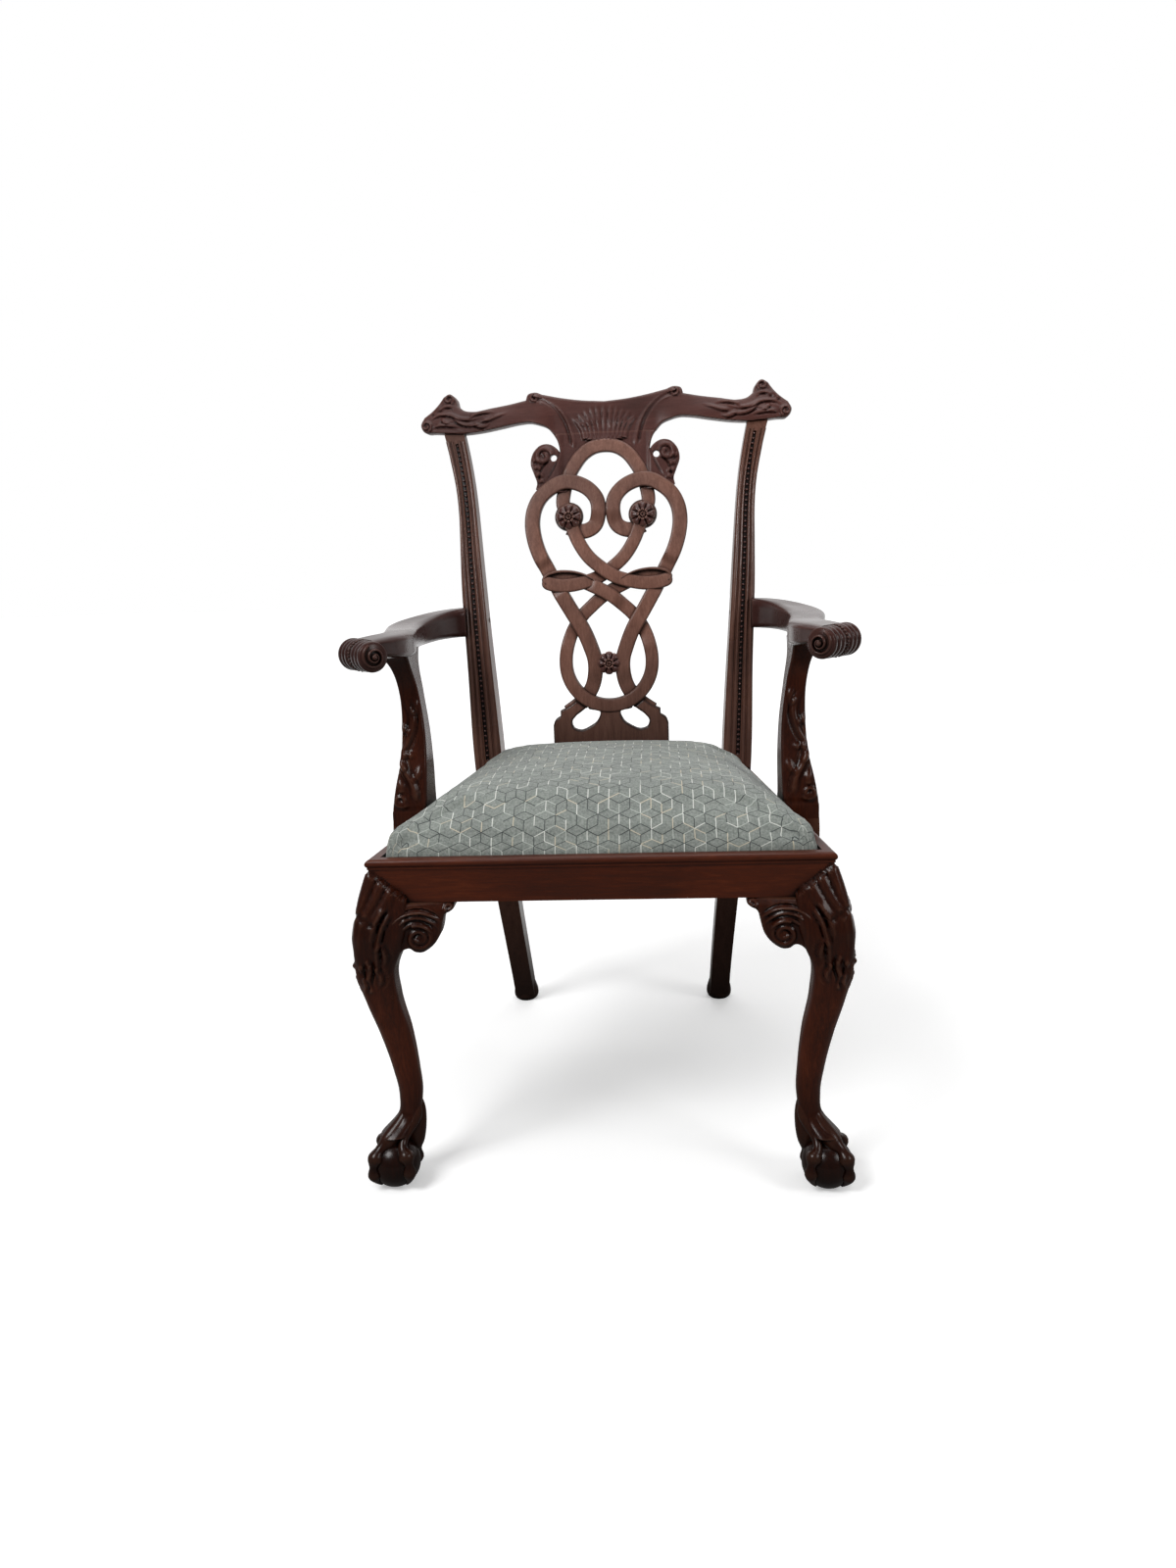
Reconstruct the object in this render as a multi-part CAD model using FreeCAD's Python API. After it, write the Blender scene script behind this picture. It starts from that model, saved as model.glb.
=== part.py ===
import FreeCAD, Part
import math
import os

# Carved mahogany armchair. Millimetres: X across the chair, Y from front to back, Z up from the floor.
# While the pieces are made, Y is 0 on the front rail's face. The origin is moved under the middle at the end.
# Every paired piece is made on the chair's right side (+X) and mirrored.
middle_y = 294.85

# Seat frame
front_half = 270.5
rear_half = 216.0
back_y = 446.0
rail_low = 372.0
rail_top = 413.0
rail_thick = 28.0
leg_block = 44.0
tenon_thick = 10.0
tenon_inset = 9.0
tenon_low = 378.0
tenon_high = 407.0
tenon_long = 24.0
rear_rail_thick = 24.0
rear_rail_half = 180.0
rear_rail_inset = 2.0
rear_tenon_half = 189.0
rear_tenon_inset = 8.0

# Lip moulding round the seat
lip_top = 425.0
lip_inside = 11.0
lip_proud = 3.0
lip_quirk = 2.0
nosing_high = 9.0
nosing_flat = 3.0

# Back: upright from the seat up to the bend, then an arc; the rear legs sweep back below the seat
bend_z = 480.0
back_radius = 1075.0
leg_bend_z = 400.0
leg_radius = 934.0
post_top = 975.0
post_foot = 12.0
post_outer = [(185, 12), (190, 120), (208, 330), (217, 450), (219.5, 584), (225.5, 740), (234.5, 880),
              (241, 908), (256, 962), (262, 975)]
post_inner = [(227, 975), (214.5, 923), (206.5, 880), (198, 805), (186.5, 657), (173, 440), (170, 340),
              (159, 150), (153, 12)]
post_rear = [(586, 975), (555, 890), (521, 780), (496, 640), (488, 480), (488, 400), (498, 250), (528, 110),
             (566, 12)]
post_tenon_size = (18.0, 9.0, 26.0)
post_tenon_x = 230.0
post_tenon_z = 950.0
post_tenon_inset = 10.0
bead_line = [(196, 450), (199.8, 560), (209.3, 740), (222, 890), (232, 938)]
bead_groove_wide = 6.0
bead_groove_deep = 2.5
pad_foot = [(16, 0), (20.5, 6), (21, 14), (18.5, 25), (15.5, 34)]

# Crest rail: outline of its right half as seen from the front, and its thickness
crest_proud = 3.0
crest_thick = 24.0
crest_joint_z = 946.0
crest_clear_low = 926.0
crest_clear_high = 1030.0
crest_top = [(0, 995), (36, 998), (67, 1003), (98, 1010)]
crest_curl = [(98, 1010), (109, 1014), (121, 1011), (124, 1002)]
crest_shoulder = [(124, 1002), (150, 996.5), (181, 991.5), (206, 987.5), (222, 990), (233, 998)]
ear_top = [(233, 998), (237, 1010), (247, 1018), (256, 1013)]
ear_side = [(256, 1013), (258, 1004), (279, 981), (285, 981)]
ear_low = [(285, 981), (290, 969), (283, 957), (270, 956)]
crest_under = [(270, 956), (220, 953), (196, 955), (165, 960), (134, 965.5), (119, 966.5), (104, 963),
               (90, 957), (80, 946)]
ear_volutes = [(247, 1009, 8), (280, 967, 9)]
ear_volute_proud = 4.0

# Splat: centre lines of the straps on the right half, as seen from the front
splat_thick = 14.0
splat_low = 430.0
splat_reach = 150.0
strap_deep = 4.0
strap_middle = 2.0
heart_width = 23.0
ribbon_width = 20.5
arch_width = 21.5
heart_line = [(31, 797), (18, 804), (11.5, 822), (14, 845), (26, 860), (42, 869), (57, 872.5),
              (70, 871), (86, 863), (101, 850), (111, 831), (114, 811), (111.5, 789), (104.5, 766),
              (92, 741), (73, 706), (53, 672), (39, 649), (28, 623)]
tail_line = [(39, 649), (28, 623), (22, 603), (22, 580), (27, 561), (40, 542), (60, 526)]
arch_line = [(0, 926.5), (17, 924), (35, 913), (47, 898), (57, 880), (64, 858), (66, 838), (58, 820)]
ribbon_line = [(-57, 819), (-51, 800), (-42.5, 780), (-27, 757), (-8, 740.5), (12, 727.5), (35, 720),
               (58, 716), (76, 716.5), (95, 723)]
cross_line = [(-88, 722), (-50, 724), (-20, 713), (7, 698), (24, 684), (37, 672), (52, 652),
              (62, 628), (66.5, 600)]
fold_top = [(33, 731), (62, 738.5), (95, 731)]
fold_low = [(95, 731), (69, 724), (33, 731)]
loop_centre_z = 598.0
loop_radius = 66.5
rosette_eye = 22.0
upper_rosette = (57.0, 819.0)
lower_rosette = (0.0, 597.0)
rosette_radius = 19.0
petal_ring = 11.8
petal_count = 8
petal_thick = 8.0
rosette_thick = 10.0
button_radius = 5.0
button_rise = 8.5
leaf_outline = [(70, 918), (76, 925), (88, 931.5), (100, 930.5), (112, 919), (116, 903), (110, 884),
                (106, 872), (108, 862)]
leaf_foot = [(108, 862), (98, 860), (60, 855)]
leaf_inside = [(60, 855), (40, 905), (0, 922)]
leaf_neck = [(80, 946), (75, 938), (71, 925), (70, 918)]
leaf_hole = (80.0, 909.5, 5.0)
base_waist = [(0, 525), (34, 527), (52, 540)]
base_shoulder = [(52, 540), (65, 531), (78, 525)]
base_step = [(78, 525), (78, 516.5)]
base_corner = [(78, 516.5), (86, 511.5), (90, 502)]
base_half = 90.0
kidney_hole = [(37, 529), (16, 521.5), (21, 508), (33, 499), (46, 494), (57, 497.5), (60, 507),
               (53, 517), (37, 529)]
tongue_half = 50.0
tongue_thick = 6.0
tongue_inset = 4.0
tongue_rise = 12.0

# Shoe under the splat
shoe_half = 96.0
shoe_front = 438.0
shoe_rear = 468.0
shoe_rear_top = 464.0
shoe_high = 470.0
shoe_cove = [(438, 432), (439, 450), (443, 470)]

# Front legs: height, outer and inner edge as seen from the front, corner radius; the side view is the same
leg_sections = [(413, 271, 226.5, 3), (385, 280, 226.5, 6), (345, 290, 227, 9), (315, 293, 236.5, 11),
                (290, 291.5, 246, 12), (255, 286.5, 245.5, 12), (200, 274.5, 237.5, 13),
                (150, 265.5, 233.5, 13), (112, 261.5, 232.5, 13), (90, 263, 236, 12),
                (68, 284, 248, 16)]
ankle_centre = 246.5
ball_centre = 268.0
ball_radius = 31.0
ball_height = 29.0
# Claws: the way each one points, and the angles down the ball, from its top, that it follows to its nail
talons = [(315, (18, 48, 74, 98, 120, 134)), (45, (48, 72, 94, 116, 134)), (225, (48, 72, 94, 116, 134)),
          (135, (78, 96, 116, 132))]
talon_root = (96.0, 10.0)
talon_proud = 1.5
talon_thick = 8.0
talon_nail = 2.2
talon_sides = 8
floor_block = 200.0

# Knee blocks: outline under the front rail, and the wedge that swells towards the knee
knee_edge = 252.0
knee_scroll = [(171.5, 372), (171, 366), (182, 358), (188, 339), (196, 322.5), (212, 312),
               (225, 317.5), (236, 315), (252, 299)]
knee_low = 250.0
knee_swell = [(165, -2), (200, -5), (252, -25), (252, 22), (165, 22)]
knee_volute = (213.0, 330.0, 16.0)
knee_volute_front = -14.0
knee_volute_long = 30.0
knee_spiral = (13.5, 4.5, 1.5, 60.0)

# Arms: place in plan, height of the middle, width and depth of each section, and its direction in degrees
arm_sections = [(210, 476, 666, 36, 44, 158), (238, 458, 665.5, 40, 43, 140), (262, 423, 664, 46, 40, 118),
                (277, 377, 662, 50, 38, 99), (281.5, 330, 660.5, 50, 36, 88), (275, 270, 660, 46, 34, 79),
                (265, 215, 659, 44, 34, 83), (261, 165, 660, 50, 32, 101), (267, 128, 662, 58, 28, 122),
                (280, 98, 664.5, 64, 22, 141)]
arm_corner = 9.0
section_steps = 2
arm_joint_x = 221.0
roll_centre = (282.0, 95.5, 655.0)
roll_radius = 19.5
roll_length = 66.0
roll_turn = -38.4
roll_spiral = (15.5, 5.0, 1.75, 40.0)
volute_groove = 2.5
volute_groove_deep = 2.0

# Arm supports: edges as seen from the front and from the side
support_inner = [(250, 660), (246, 636), (238, 596), (231.5, 545), (230, 500), (231, 450), (231, 413)]
support_outer = [(274, 372), (274, 446), (269.5, 475), (263, 505), (259.5, 555), (262, 605), (270, 660)]
support_front = [(149, 372), (149, 446), (154, 480), (170, 540), (180, 600), (172, 660)]
support_rear = [(226, 660), (214, 610), (206, 545), (209, 480), (212, 446), (212, 372)]
support_middle = 180.0
support_reach = (100.0, 350.0)
support_tenon = (258.0, 196.0, 630.0)
support_tenon_radius = 8.0
support_tenon_long = 40.0

# Drop-in seat; the pad's levels are a rise above the webbing and how far the outline has drawn in there
seat_gap = 1.5
seat_rear = 434.0
seat_low = 413.3
seat_corner = 15.0
seat_board = 16.0
seat_board_wide = 48.0
board_gap = 0.4
cover_thick = 1.6
notch_front = 145.0
notch_rear = 217.0
notch_inside = 227.0
notch_low = 380.0
notch_high = 580.0
web_wide = 50.0
web_thick = 2.0
web_front = 28.0
web_long = 392.0
web_inset = 55.0
web_across = (-110, 0, 110)
web_along = (110, 220, 330)
pad_levels = [(0, 0), (8, 0), (16, 5), (26, 14), (38, 30), (48, 48), (57, 72), (64, 105), (68, 145)]

# Corner blocks
block_low = 380.0
front_block_x = 152.5
front_block_y = 106.0
rear_block_x = 112.0
rear_block_y = 380.0
rear_block_end = 165.0

# Screws, each from the middle of its head
screw_radius = 2.1
screw_head_radius = 4.2
screw_head = 3.0
screw_reach = 60.0
block_screw_z = 396.0
block_screw_long = 38.0
front_block_screw = (180.0, 48.0)
side_block_screws = (80.0, 400.0)
block_screw_inset = 46.0
rear_block_screw = (145.0, 430.0)
support_screw_y = (166.0, 196.0)
support_screw_z = 392.0
support_screw_long = 42.0
arm_screw_start = (189.0, 487.0, 666.0)
arm_screw_way = (0.8, -0.6, 0.0)
arm_screw_long = 60.0

side_angle = math.degrees(math.atan((front_half - rear_half) / back_y))


def at(x, y, z):
    return FreeCAD.Vector(x, y, z)


def in_front(x, z):
    return at(x, 0, z)


def in_side(y, z):
    return at(0, y, z)


def in_plan(x, y):
    return at(x, y, 0)


# A straight edge between two points, or a smooth curve through more of them
def run_edge(points):
    if len(points) == 2:
        return Part.makeLine(*points)
    curve = Part.BSplineCurve()
    curve.interpolate(points)
    return curve.toShape()


# A face from runs of points that follow each other; place turns a pair of numbers into a point
def outline(place, runs):
    edges = [run_edge([place(*pair) for pair in run]) for run in runs]
    return Part.Face(Part.Wire(edges))


def polygon(place, pairs):
    points = [place(*pair) for pair in pairs]
    return Part.Face(Part.makePolygon(points + points[:1]))


def raised(face, low, high):
    lifted = face.translated(at(0, 0, low))
    return lifted.extrude(at(0, 0, high - low))


def deep(face, front, rear):
    moved = face.translated(at(0, front, 0))
    return moved.extrude(at(0, rear - front, 0))


def wide(face, left, right):
    moved = face.translated(at(left, 0, 0))
    return moved.extrude(at(right - left, 0, 0))


def mirrored(shape):
    return shape.mirror(at(0, 0, 0), at(1, 0, 0))


def both_sides(shape):
    return shape.fuse(mirrored(shape)).removeSplitter()


def one_solid(shape):
    return max(shape.Solids, key=lambda solid: solid.Volume)


# X of the seat frame's outer side at a depth, moved inwards by an inset
def side_x(y, inset=0.0):
    slope = (rear_half - front_half) / back_y
    return front_half + slope * y - inset / math.cos(math.radians(side_angle))


# A length of the side rail's board, between two depths and two insets from its outer face
def side_strip(front, rear, outer, inner, low, high):
    corners = [(side_x(front, outer), front), (side_x(rear, outer), rear)]
    corners += [(side_x(rear, inner), rear), (side_x(front, inner), front)]
    return raised(polygon(in_plan, corners), low, high)


# Y of the back's curve at a height, behind the front surface by an offset
def back_curve(z, offset=0.0):
    rise = max(0.0, z - bend_z)
    radius = back_radius - offset
    return back_y + back_radius - math.sqrt(radius * radius - rise * rise)


# The wall between two surfaces parallel to the back's curve
def back_slab(front, rear, low, high):
    middle = (bend_z + high) / 2

    def corner(z, offset):
        return at(0, back_curve(z, offset), z)

    def bend(offset):
        return Part.Arc(corner(bend_z, offset), corner(middle, offset), corner(high, offset)).toShape()

    edges = [Part.makeLine(corner(low, front), corner(bend_z, front)), bend(front)]
    edges += [Part.makeLine(corner(high, front), corner(high, rear)), bend(rear)]
    edges += [Part.makeLine(corner(bend_z, rear), corner(low, rear))]
    edges += [Part.makeLine(corner(low, rear), corner(low, front))]
    section = Part.Face(Part.Wire(Part.__sortEdges__(edges)))
    return wide(section, -front_half - leg_block, front_half + leg_block)


# The flat band of a strap with a centre line seen from the front; flats are for a groove cut in short strokes
def strap(line, width, samples=36, flats=False):
    centre = Part.BSplineCurve()
    centre.interpolate([in_front(*pair) for pair in line])
    first, last = centre.FirstParameter, centre.LastParameter
    left = []
    right = []
    for step in range(samples + 1):
        where = first + (last - first) * step / samples
        along = centre.tangent(where)[0]
        across = at(-along.z, 0, along.x) * (width / 2)
        left.append(centre.value(where) + across)
        right.append(centre.value(where) - across)
    right.reverse()
    if flats:
        return Part.Face(Part.makePolygon(left + right + left[:1]))
    edges = [run_edge(left), run_edge([left[-1], right[0]]), run_edge(right), run_edge([right[-1], left[0]])]
    return Part.Face(Part.Wire(edges))


# Points of a spiral that winds in from its outer radius
def spiral(centre_x, centre_z, outer, inner, turns, start):
    points = []
    steps = int(turns * 8)
    for step in range(steps + 1):
        share = step / steps
        angle = math.radians(start) + share * turns * 2 * math.pi
        radius = outer + (inner - outer) * share
        points.append((centre_x + radius * math.cos(angle), centre_z + radius * math.sin(angle)))
    return points


def disc(x, z, radius):
    return Part.Face(Part.Wire(Part.makeCircle(radius, in_front(x, z), at(0, 1, 0))))


def make_front_rail():
    half = front_half - leg_block
    board = Part.makeBox(2 * half, rail_thick, rail_top - rail_low, at(-half, 0, rail_low))
    long = half + tenon_long
    tenon = Part.makeBox(2 * long, tenon_thick, tenon_high - tenon_low, at(-long, tenon_inset, tenon_low))
    return board.fuse(tenon).removeSplitter()


def make_side_rail():
    board = side_strip(leg_block, back_y, 0, rail_thick, rail_low, rail_top)
    inner = tenon_inset + tenon_thick
    front = side_strip(leg_block - tenon_long, leg_block, tenon_inset, inner, tenon_low, tenon_high)
    rear = side_strip(back_y, back_y + 1.4 * tenon_long, tenon_inset, inner, tenon_low, tenon_high)
    return board.fuse([front, rear]).removeSplitter()


def make_rear_rail(posts):
    front = back_y + rear_rail_inset
    corner = at(-rear_rail_half, front, rail_low)
    board = Part.makeBox(2 * rear_rail_half, rear_rail_thick, rail_top - rail_low, corner).cut(posts)
    corner = at(-rear_tenon_half, front + rear_tenon_inset, tenon_low)
    tenon = Part.makeBox(2 * rear_tenon_half, tenon_thick, tenon_high - tenon_low, corner)
    return one_solid(board).fuse(tenon).removeSplitter()


# The lip's section, with its outer top edge rounded; out is away from the seat
def lip_section(place):
    quirk = lip_proud - lip_quirk
    nosing_low = lip_top - nosing_high
    nosing = [place(quirk, nosing_low), place(lip_proud, lip_top - nosing_high / 2)]
    nosing.append(place(quirk - nosing_flat, lip_top))
    edges = [Part.Arc(*nosing).toShape(), Part.makeLine(nosing[2], place(-lip_inside, lip_top))]
    edges += [Part.makeLine(place(-lip_inside, lip_top), place(-lip_inside, rail_top))]
    edges += [Part.makeLine(place(-lip_inside, rail_top), place(quirk, rail_top))]
    edges += [Part.makeLine(place(quirk, rail_top), nosing[0])]
    return Part.Face(Part.Wire(edges))


def make_front_lip():
    section = lip_section(lambda out, z: at(0, -out, z))
    bar = wide(section, -front_half - leg_block, front_half + leg_block)
    outer = side_x(-lip_proud, -lip_proud)
    inner = side_x(lip_inside, lip_inside)
    corners = [(-outer, -lip_proud), (outer, -lip_proud), (inner, lip_inside), (-inner, lip_inside)]
    return bar.common(raised(polygon(in_plan, corners), rail_top, lip_top))


# The side lip in two lengths, in front of the arm support and behind it
def make_side_lips(support, post):
    section = lip_section(lambda out, z: at(front_half + out, 0, z))
    bar = deep(section, -leg_block, back_y + leg_block)
    bar.rotate(at(front_half, 0, 0), at(0, 0, 1), side_angle)
    corners = [(side_x(-lip_proud, -lip_proud), -lip_proud), (side_x(back_y, -lip_proud), back_y)]
    corners += [(side_x(back_y, lip_inside), back_y), (side_x(lip_inside, lip_inside), lip_inside)]
    whole = bar.common(raised(polygon(in_plan, corners), rail_top, lip_top)).cut([support, post])
    lengths = sorted(whole.Solids, key=lambda solid: solid.CenterOfMass.y)
    return lengths[0], lengths[-1]


def post_side_face():
    def corner(z):
        return at(0, back_curve(z), z)

    def leg_corner(z):
        drop = leg_bend_z - z
        return at(0, back_y + leg_radius - math.sqrt(leg_radius ** 2 - drop ** 2), z)

    leg_arc = Part.Arc(leg_corner(post_foot), leg_corner(leg_bend_z / 2), leg_corner(leg_bend_z)).toShape()
    upright = Part.makeLine(leg_corner(leg_bend_z), corner(bend_z))
    back_arc = Part.Arc(corner(bend_z), corner((bend_z + post_top) / 2), corner(post_top)).toShape()
    rear = run_edge([in_side(*pair) for pair in post_rear])
    top = Part.makeLine(corner(post_top), in_side(*post_rear[0]))
    foot = Part.makeLine(in_side(*post_rear[-1]), leg_corner(post_foot))
    return Part.Face(Part.Wire([leg_arc, upright, back_arc, top, rear, foot]))


# The small round pad that the rear leg stands on
def make_pad_foot():
    x = (post_outer[0][0] + post_inner[-1][0]) / 2
    y = (post_rear[-1][0] + back_y + leg_radius - math.sqrt(leg_radius ** 2 - leg_bend_z ** 2)) / 2
    top = (0, pad_foot[-1][1])
    half = outline(in_front, [[(0, 0), pad_foot[0]], pad_foot, [pad_foot[-1], top], [top, (0, 0)]])
    foot = half.revolve(at(0, 0, 0), at(0, 0, 1), 360)
    return foot.translated(at(x, y, 0))


def make_post(crest):
    top = [post_outer[-1], post_inner[0]]
    foot = [post_inner[-1], post_outer[0]]
    front = outline(in_front, [post_outer, top, post_inner, foot])
    body = deep(front, back_y - leg_block, back_y + 4 * leg_block)
    body = body.common(wide(post_side_face(), 0, 2 * front_half))
    groove = deep(strap(bead_line, bead_groove_wide, 12), 0, 4 * back_y)
    groove = groove.common(back_slab(-leg_block, bead_groove_deep, rail_top, post_top))
    shaped = one_solid(body.fuse(make_pad_foot())).cut([groove, crest])
    return one_solid(one_solid(shaped).fuse(make_post_tenon()))


def make_post_tenon():
    y = back_curve(post_tenon_z, post_tenon_inset)
    return Part.makeBox(*post_tenon_size, at(post_tenon_x, y, post_tenon_z))


def make_crest():
    joint = (0, crest_joint_z)
    runs = [crest_top, crest_curl, crest_shoulder, ear_top, ear_side, ear_low, crest_under]
    runs += [[crest_under[-1], joint], [joint, crest_top[0]]]
    board = deep(outline(in_front, runs), 0, 3 * back_y)
    half = board.common(back_slab(-crest_proud, crest_thick, crest_clear_low, crest_clear_high))
    for x, z, radius in ear_volutes:
        start = at(x, back_curve(z, -crest_proud) - ear_volute_proud, z)
        half = half.fuse(Part.makeCylinder(radius, 2 * ear_volute_proud, start, at(0, 1, 0)))
    return one_solid(both_sides(half))


# Straps that share one level, as a wall that follows the back's curve
def splat_layer(faces, front):
    prisms = [deep(face, shoe_front, back_y + splat_reach) for face in faces]
    whole = prisms[0].fuse(prisms[1:]).removeSplitter()
    return whole.common(back_slab(front, splat_thick, splat_low, crest_joint_z))


# The lower half of the ring that loops under the bottom rosette
def loop_face():
    ring = disc(0, loop_centre_z, loop_radius + ribbon_width / 2)
    ring = ring.cut(disc(0, loop_centre_z, loop_radius - ribbon_width / 2))
    reach = loop_radius + ribbon_width
    low = loop_centre_z - reach
    corners = [(-reach, low), (reach, low), (reach, loop_centre_z), (-reach, loop_centre_z)]
    return ring.common(polygon(in_front, corners))


def shoulder_face():
    middle = [leaf_inside[-1], (0, crest_joint_z)]
    joint = [middle[-1], leaf_neck[0]]
    face = outline(in_front, [leaf_outline, leaf_foot, leaf_inside, middle, joint, leaf_neck])
    return face.cut(disc(*leaf_hole))


def base_face():
    side = [base_corner[-1], (base_half, splat_low)]
    bottom = [side[-1], (0, splat_low)]
    middle = [bottom[-1], base_waist[0]]
    face = outline(in_front, [base_waist, base_shoulder, base_step, base_corner, side, bottom, middle])
    return face.cut(outline(in_front, [kidney_hole]))


# Three levels of straps: those that pass over, those between two others, and those that pass under
def make_splat():
    heart = strap(heart_line, heart_width, 54)
    tail = strap(tail_line, ribbon_width)
    arch = strap(arch_line, arch_width)
    ribbon = strap(ribbon_line, ribbon_width)
    cross = strap(cross_line, ribbon_width)
    loop = loop_face()
    eye = disc(*upper_rosette, rosette_eye)
    halves = [heart, tail, arch, eye, shoulder_face(), base_face(), ribbon, cross]
    heart = heart.cut(outline(in_front, [fold_top, fold_low]))
    low = splat_layer(halves + [mirrored(face) for face in halves] + [loop], strap_deep)
    middle = splat_layer([arch, mirrored(arch), mirrored(ribbon), cross], strap_middle)
    top = splat_layer([heart, mirrored(heart), ribbon, loop], 0.0)
    tongue_y = back_curve(crest_joint_z, splat_thick) - tongue_thick - tongue_inset
    corner = at(-tongue_half, tongue_y, crest_joint_z - tongue_rise)
    tongue = Part.makeBox(2 * tongue_half, tongue_thick, 2 * tongue_rise, corner)
    return one_solid(low.fuse([middle, top, tongue]).removeSplitter())


# One rosette: scalloped disc with a button, tilted to the back's curve and seated on the straps
def make_rosette(x, z, splat):
    body = Part.makeCylinder(petal_ring, rosette_thick)
    for petal in range(petal_count):
        angle = 2 * math.pi * petal / petal_count
        where = at(petal_ring * math.cos(angle), petal_ring * math.sin(angle), 0)
        body = body.fuse(Part.makeCylinder(rosette_radius - petal_ring, petal_thick, where))
    body = body.fuse(Part.makeSphere(button_radius, at(0, 0, button_rise)))
    tilt = math.degrees(math.asin(max(0.0, z - bend_z) / back_radius))
    body.rotate(at(0, 0, 0), at(1, 0, 0), 90 - tilt)
    body.translate(at(x, back_curve(z, strap_deep), z))
    return one_solid(body.removeSplitter().cut(splat))


def make_shoe(splat):
    foot = [(shoe_front, rail_top), shoe_cove[0]]
    top = [shoe_cove[-1], (shoe_rear_top, shoe_high)]
    rear = [top[-1], (shoe_rear, rail_top)]
    section = outline(in_side, [foot, shoe_cove, top, rear, [rear[-1], foot[0]]])
    return one_solid(wide(section, -shoe_half, shoe_half).cut(splat))


# A square with rounded corners, level at a height
def rounded_square(left, right, front, rear, radius, z):
    corners = [(right, rear, 0), (left, rear, 90), (left, front, 180), (right, front, 270)]
    edges = []
    last = None
    for x, y, turn in corners:
        inward_x = -1 if turn in (0, 270) else 1
        inward_y = -1 if turn in (0, 90) else 1
        centre = at(x + inward_x * radius, y + inward_y * radius, z)
        arc = []
        for angle in (turn, turn + 45, turn + 90):
            way = math.radians(angle)
            arc.append(centre + at(radius * math.cos(way), radius * math.sin(way), 0))
        if last is not None:
            edges.append(Part.makeLine(last, arc[0]))
        else:
            first = arc[0]
        edges.append(Part.Arc(*arc).toShape())
        last = arc[2]
    edges.append(Part.makeLine(last, first))
    return Part.Wire(edges)


# More sections between the given ones, on smooth curves through each of their values
def finer(sections, steps):
    places = [float(index) for index in range(len(sections))]
    curves = []
    for values in zip(*sections):
        curve = Part.BSplineCurve()
        curve.interpolate(Points=[at(*pair, 0) for pair in zip(places, values)], Parameters=places)
        curves.append(curve)
    count = steps * (len(sections) - 1) + 1
    return [[curve.value(index / steps).y for curve in curves] for index in range(count)]


# A ring of flats round a claw, as the carver's chisel leaves it
def claw_ring(centre, side, other, radius):
    points = []
    for index in range(talon_sides + 1):
        angle = 2 * math.pi * index / talon_sides
        points.append(centre + side * (radius * math.cos(angle)) + other * (radius * math.sin(angle)))
    return Part.makePolygon(points)


# One claw: rings of falling size from the ankle down over the ball, ending in a nail
def make_talon(turn, angles):
    way = at(math.cos(math.radians(turn)), math.sin(math.radians(turn)), 0)
    ball = at(ball_centre, front_half - ball_centre, ball_height)
    root_z, root_radius = talon_root
    path = [at(ankle_centre, front_half - ankle_centre, root_z) + way * talon_proud]
    sizes = [root_radius]
    for index, angle in enumerate(angles):
        fall = math.radians(angle)
        path.append(ball + (way * math.sin(fall) + at(0, 0, math.cos(fall))) * (ball_radius + talon_proud))
        share = index / (len(angles) - 1)
        sizes.append(talon_thick + (talon_nail - talon_thick) * share ** 2)
    rings = []
    for index, where in enumerate(path):
        along = path[min(len(path) - 1, index + 1)] - path[max(0, index - 1)]
        side = along.cross(way.cross(at(0, 0, 1))).normalize()
        rings.append(claw_ring(where, side, along.cross(side).normalize(), sizes[index]))
    return Part.makeLoft(rings, True, True)


def make_front_leg():
    wires = []
    for z, outer, inner, radius in finer(leg_sections, section_steps):
        wires.append(rounded_square(inner, outer, front_half - outer, front_half - inner, radius, z))
    shaft = Part.makeLoft(wires, True, True)
    ball = Part.makeSphere(ball_radius, at(ball_centre, front_half - ball_centre, ball_height))
    whole = shaft.fuse([ball] + [make_talon(*talon) for talon in talons])
    half = floor_block / 2
    floor = Part.makeBox(floor_block, floor_block, half, at(ball_centre - half, -half, -half))
    return one_solid(whole.cut(floor))


def make_front_knee(leg):
    top = (knee_edge, rail_low)
    runs = [[knee_scroll[-1], top], [top, knee_scroll[0]], knee_scroll]
    block = deep(outline(in_front, runs), -leg_block, leg_block)
    block = block.common(raised(polygon(in_plan, knee_swell), knee_low, rail_low))
    x, z, radius = knee_volute
    boss = Part.makeCylinder(radius, knee_volute_long, at(x, knee_volute_front, z), at(0, 1, 0))
    groove = strap(spiral(x, z, *knee_spiral), volute_groove, 24, True)
    groove = deep(groove, -leg_block, knee_volute_front + volute_groove_deep)
    return one_solid(block.fuse(boss).cut([groove, leg]))


# The same block on the leg's other side, under the side rail
def make_side_knee(front_knee, leg):
    block = front_knee.mirror(at(front_half, 0, 0), at(1, 1, 0))
    block.rotate(at(front_half, 0, 0), at(0, 0, 1), side_angle)
    return one_solid(block.cut([leg, front_knee]))


def arm_section(x, y, z, width, depth, direction):
    wire = rounded_square(-width / 2, width / 2, -depth / 2, depth / 2, arm_corner, 0)
    wire.rotate(at(0, 0, 0), at(1, 0, 0), 90)
    wire.rotate(at(0, 0, 0), at(0, 0, 1), direction - 90)
    return wire.translated(at(x, y, z))


# The rolled knuckle, with a spiral volute cut in each end
def make_roll():
    half = roll_length / 2
    roll = Part.makeCylinder(roll_radius, roll_length, at(0, -half, 0), at(0, 1, 0))
    groove = strap(spiral(0, 0, *roll_spiral), volute_groove, 28, True)
    near = deep(groove, -roll_length, volute_groove_deep - half)
    far = deep(groove, half - volute_groove_deep, roll_length)
    roll = roll.cut([near, far])
    roll.rotate(at(0, 0, 0), at(0, 0, 1), roll_turn)
    return roll.translated(at(*roll_centre))


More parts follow.
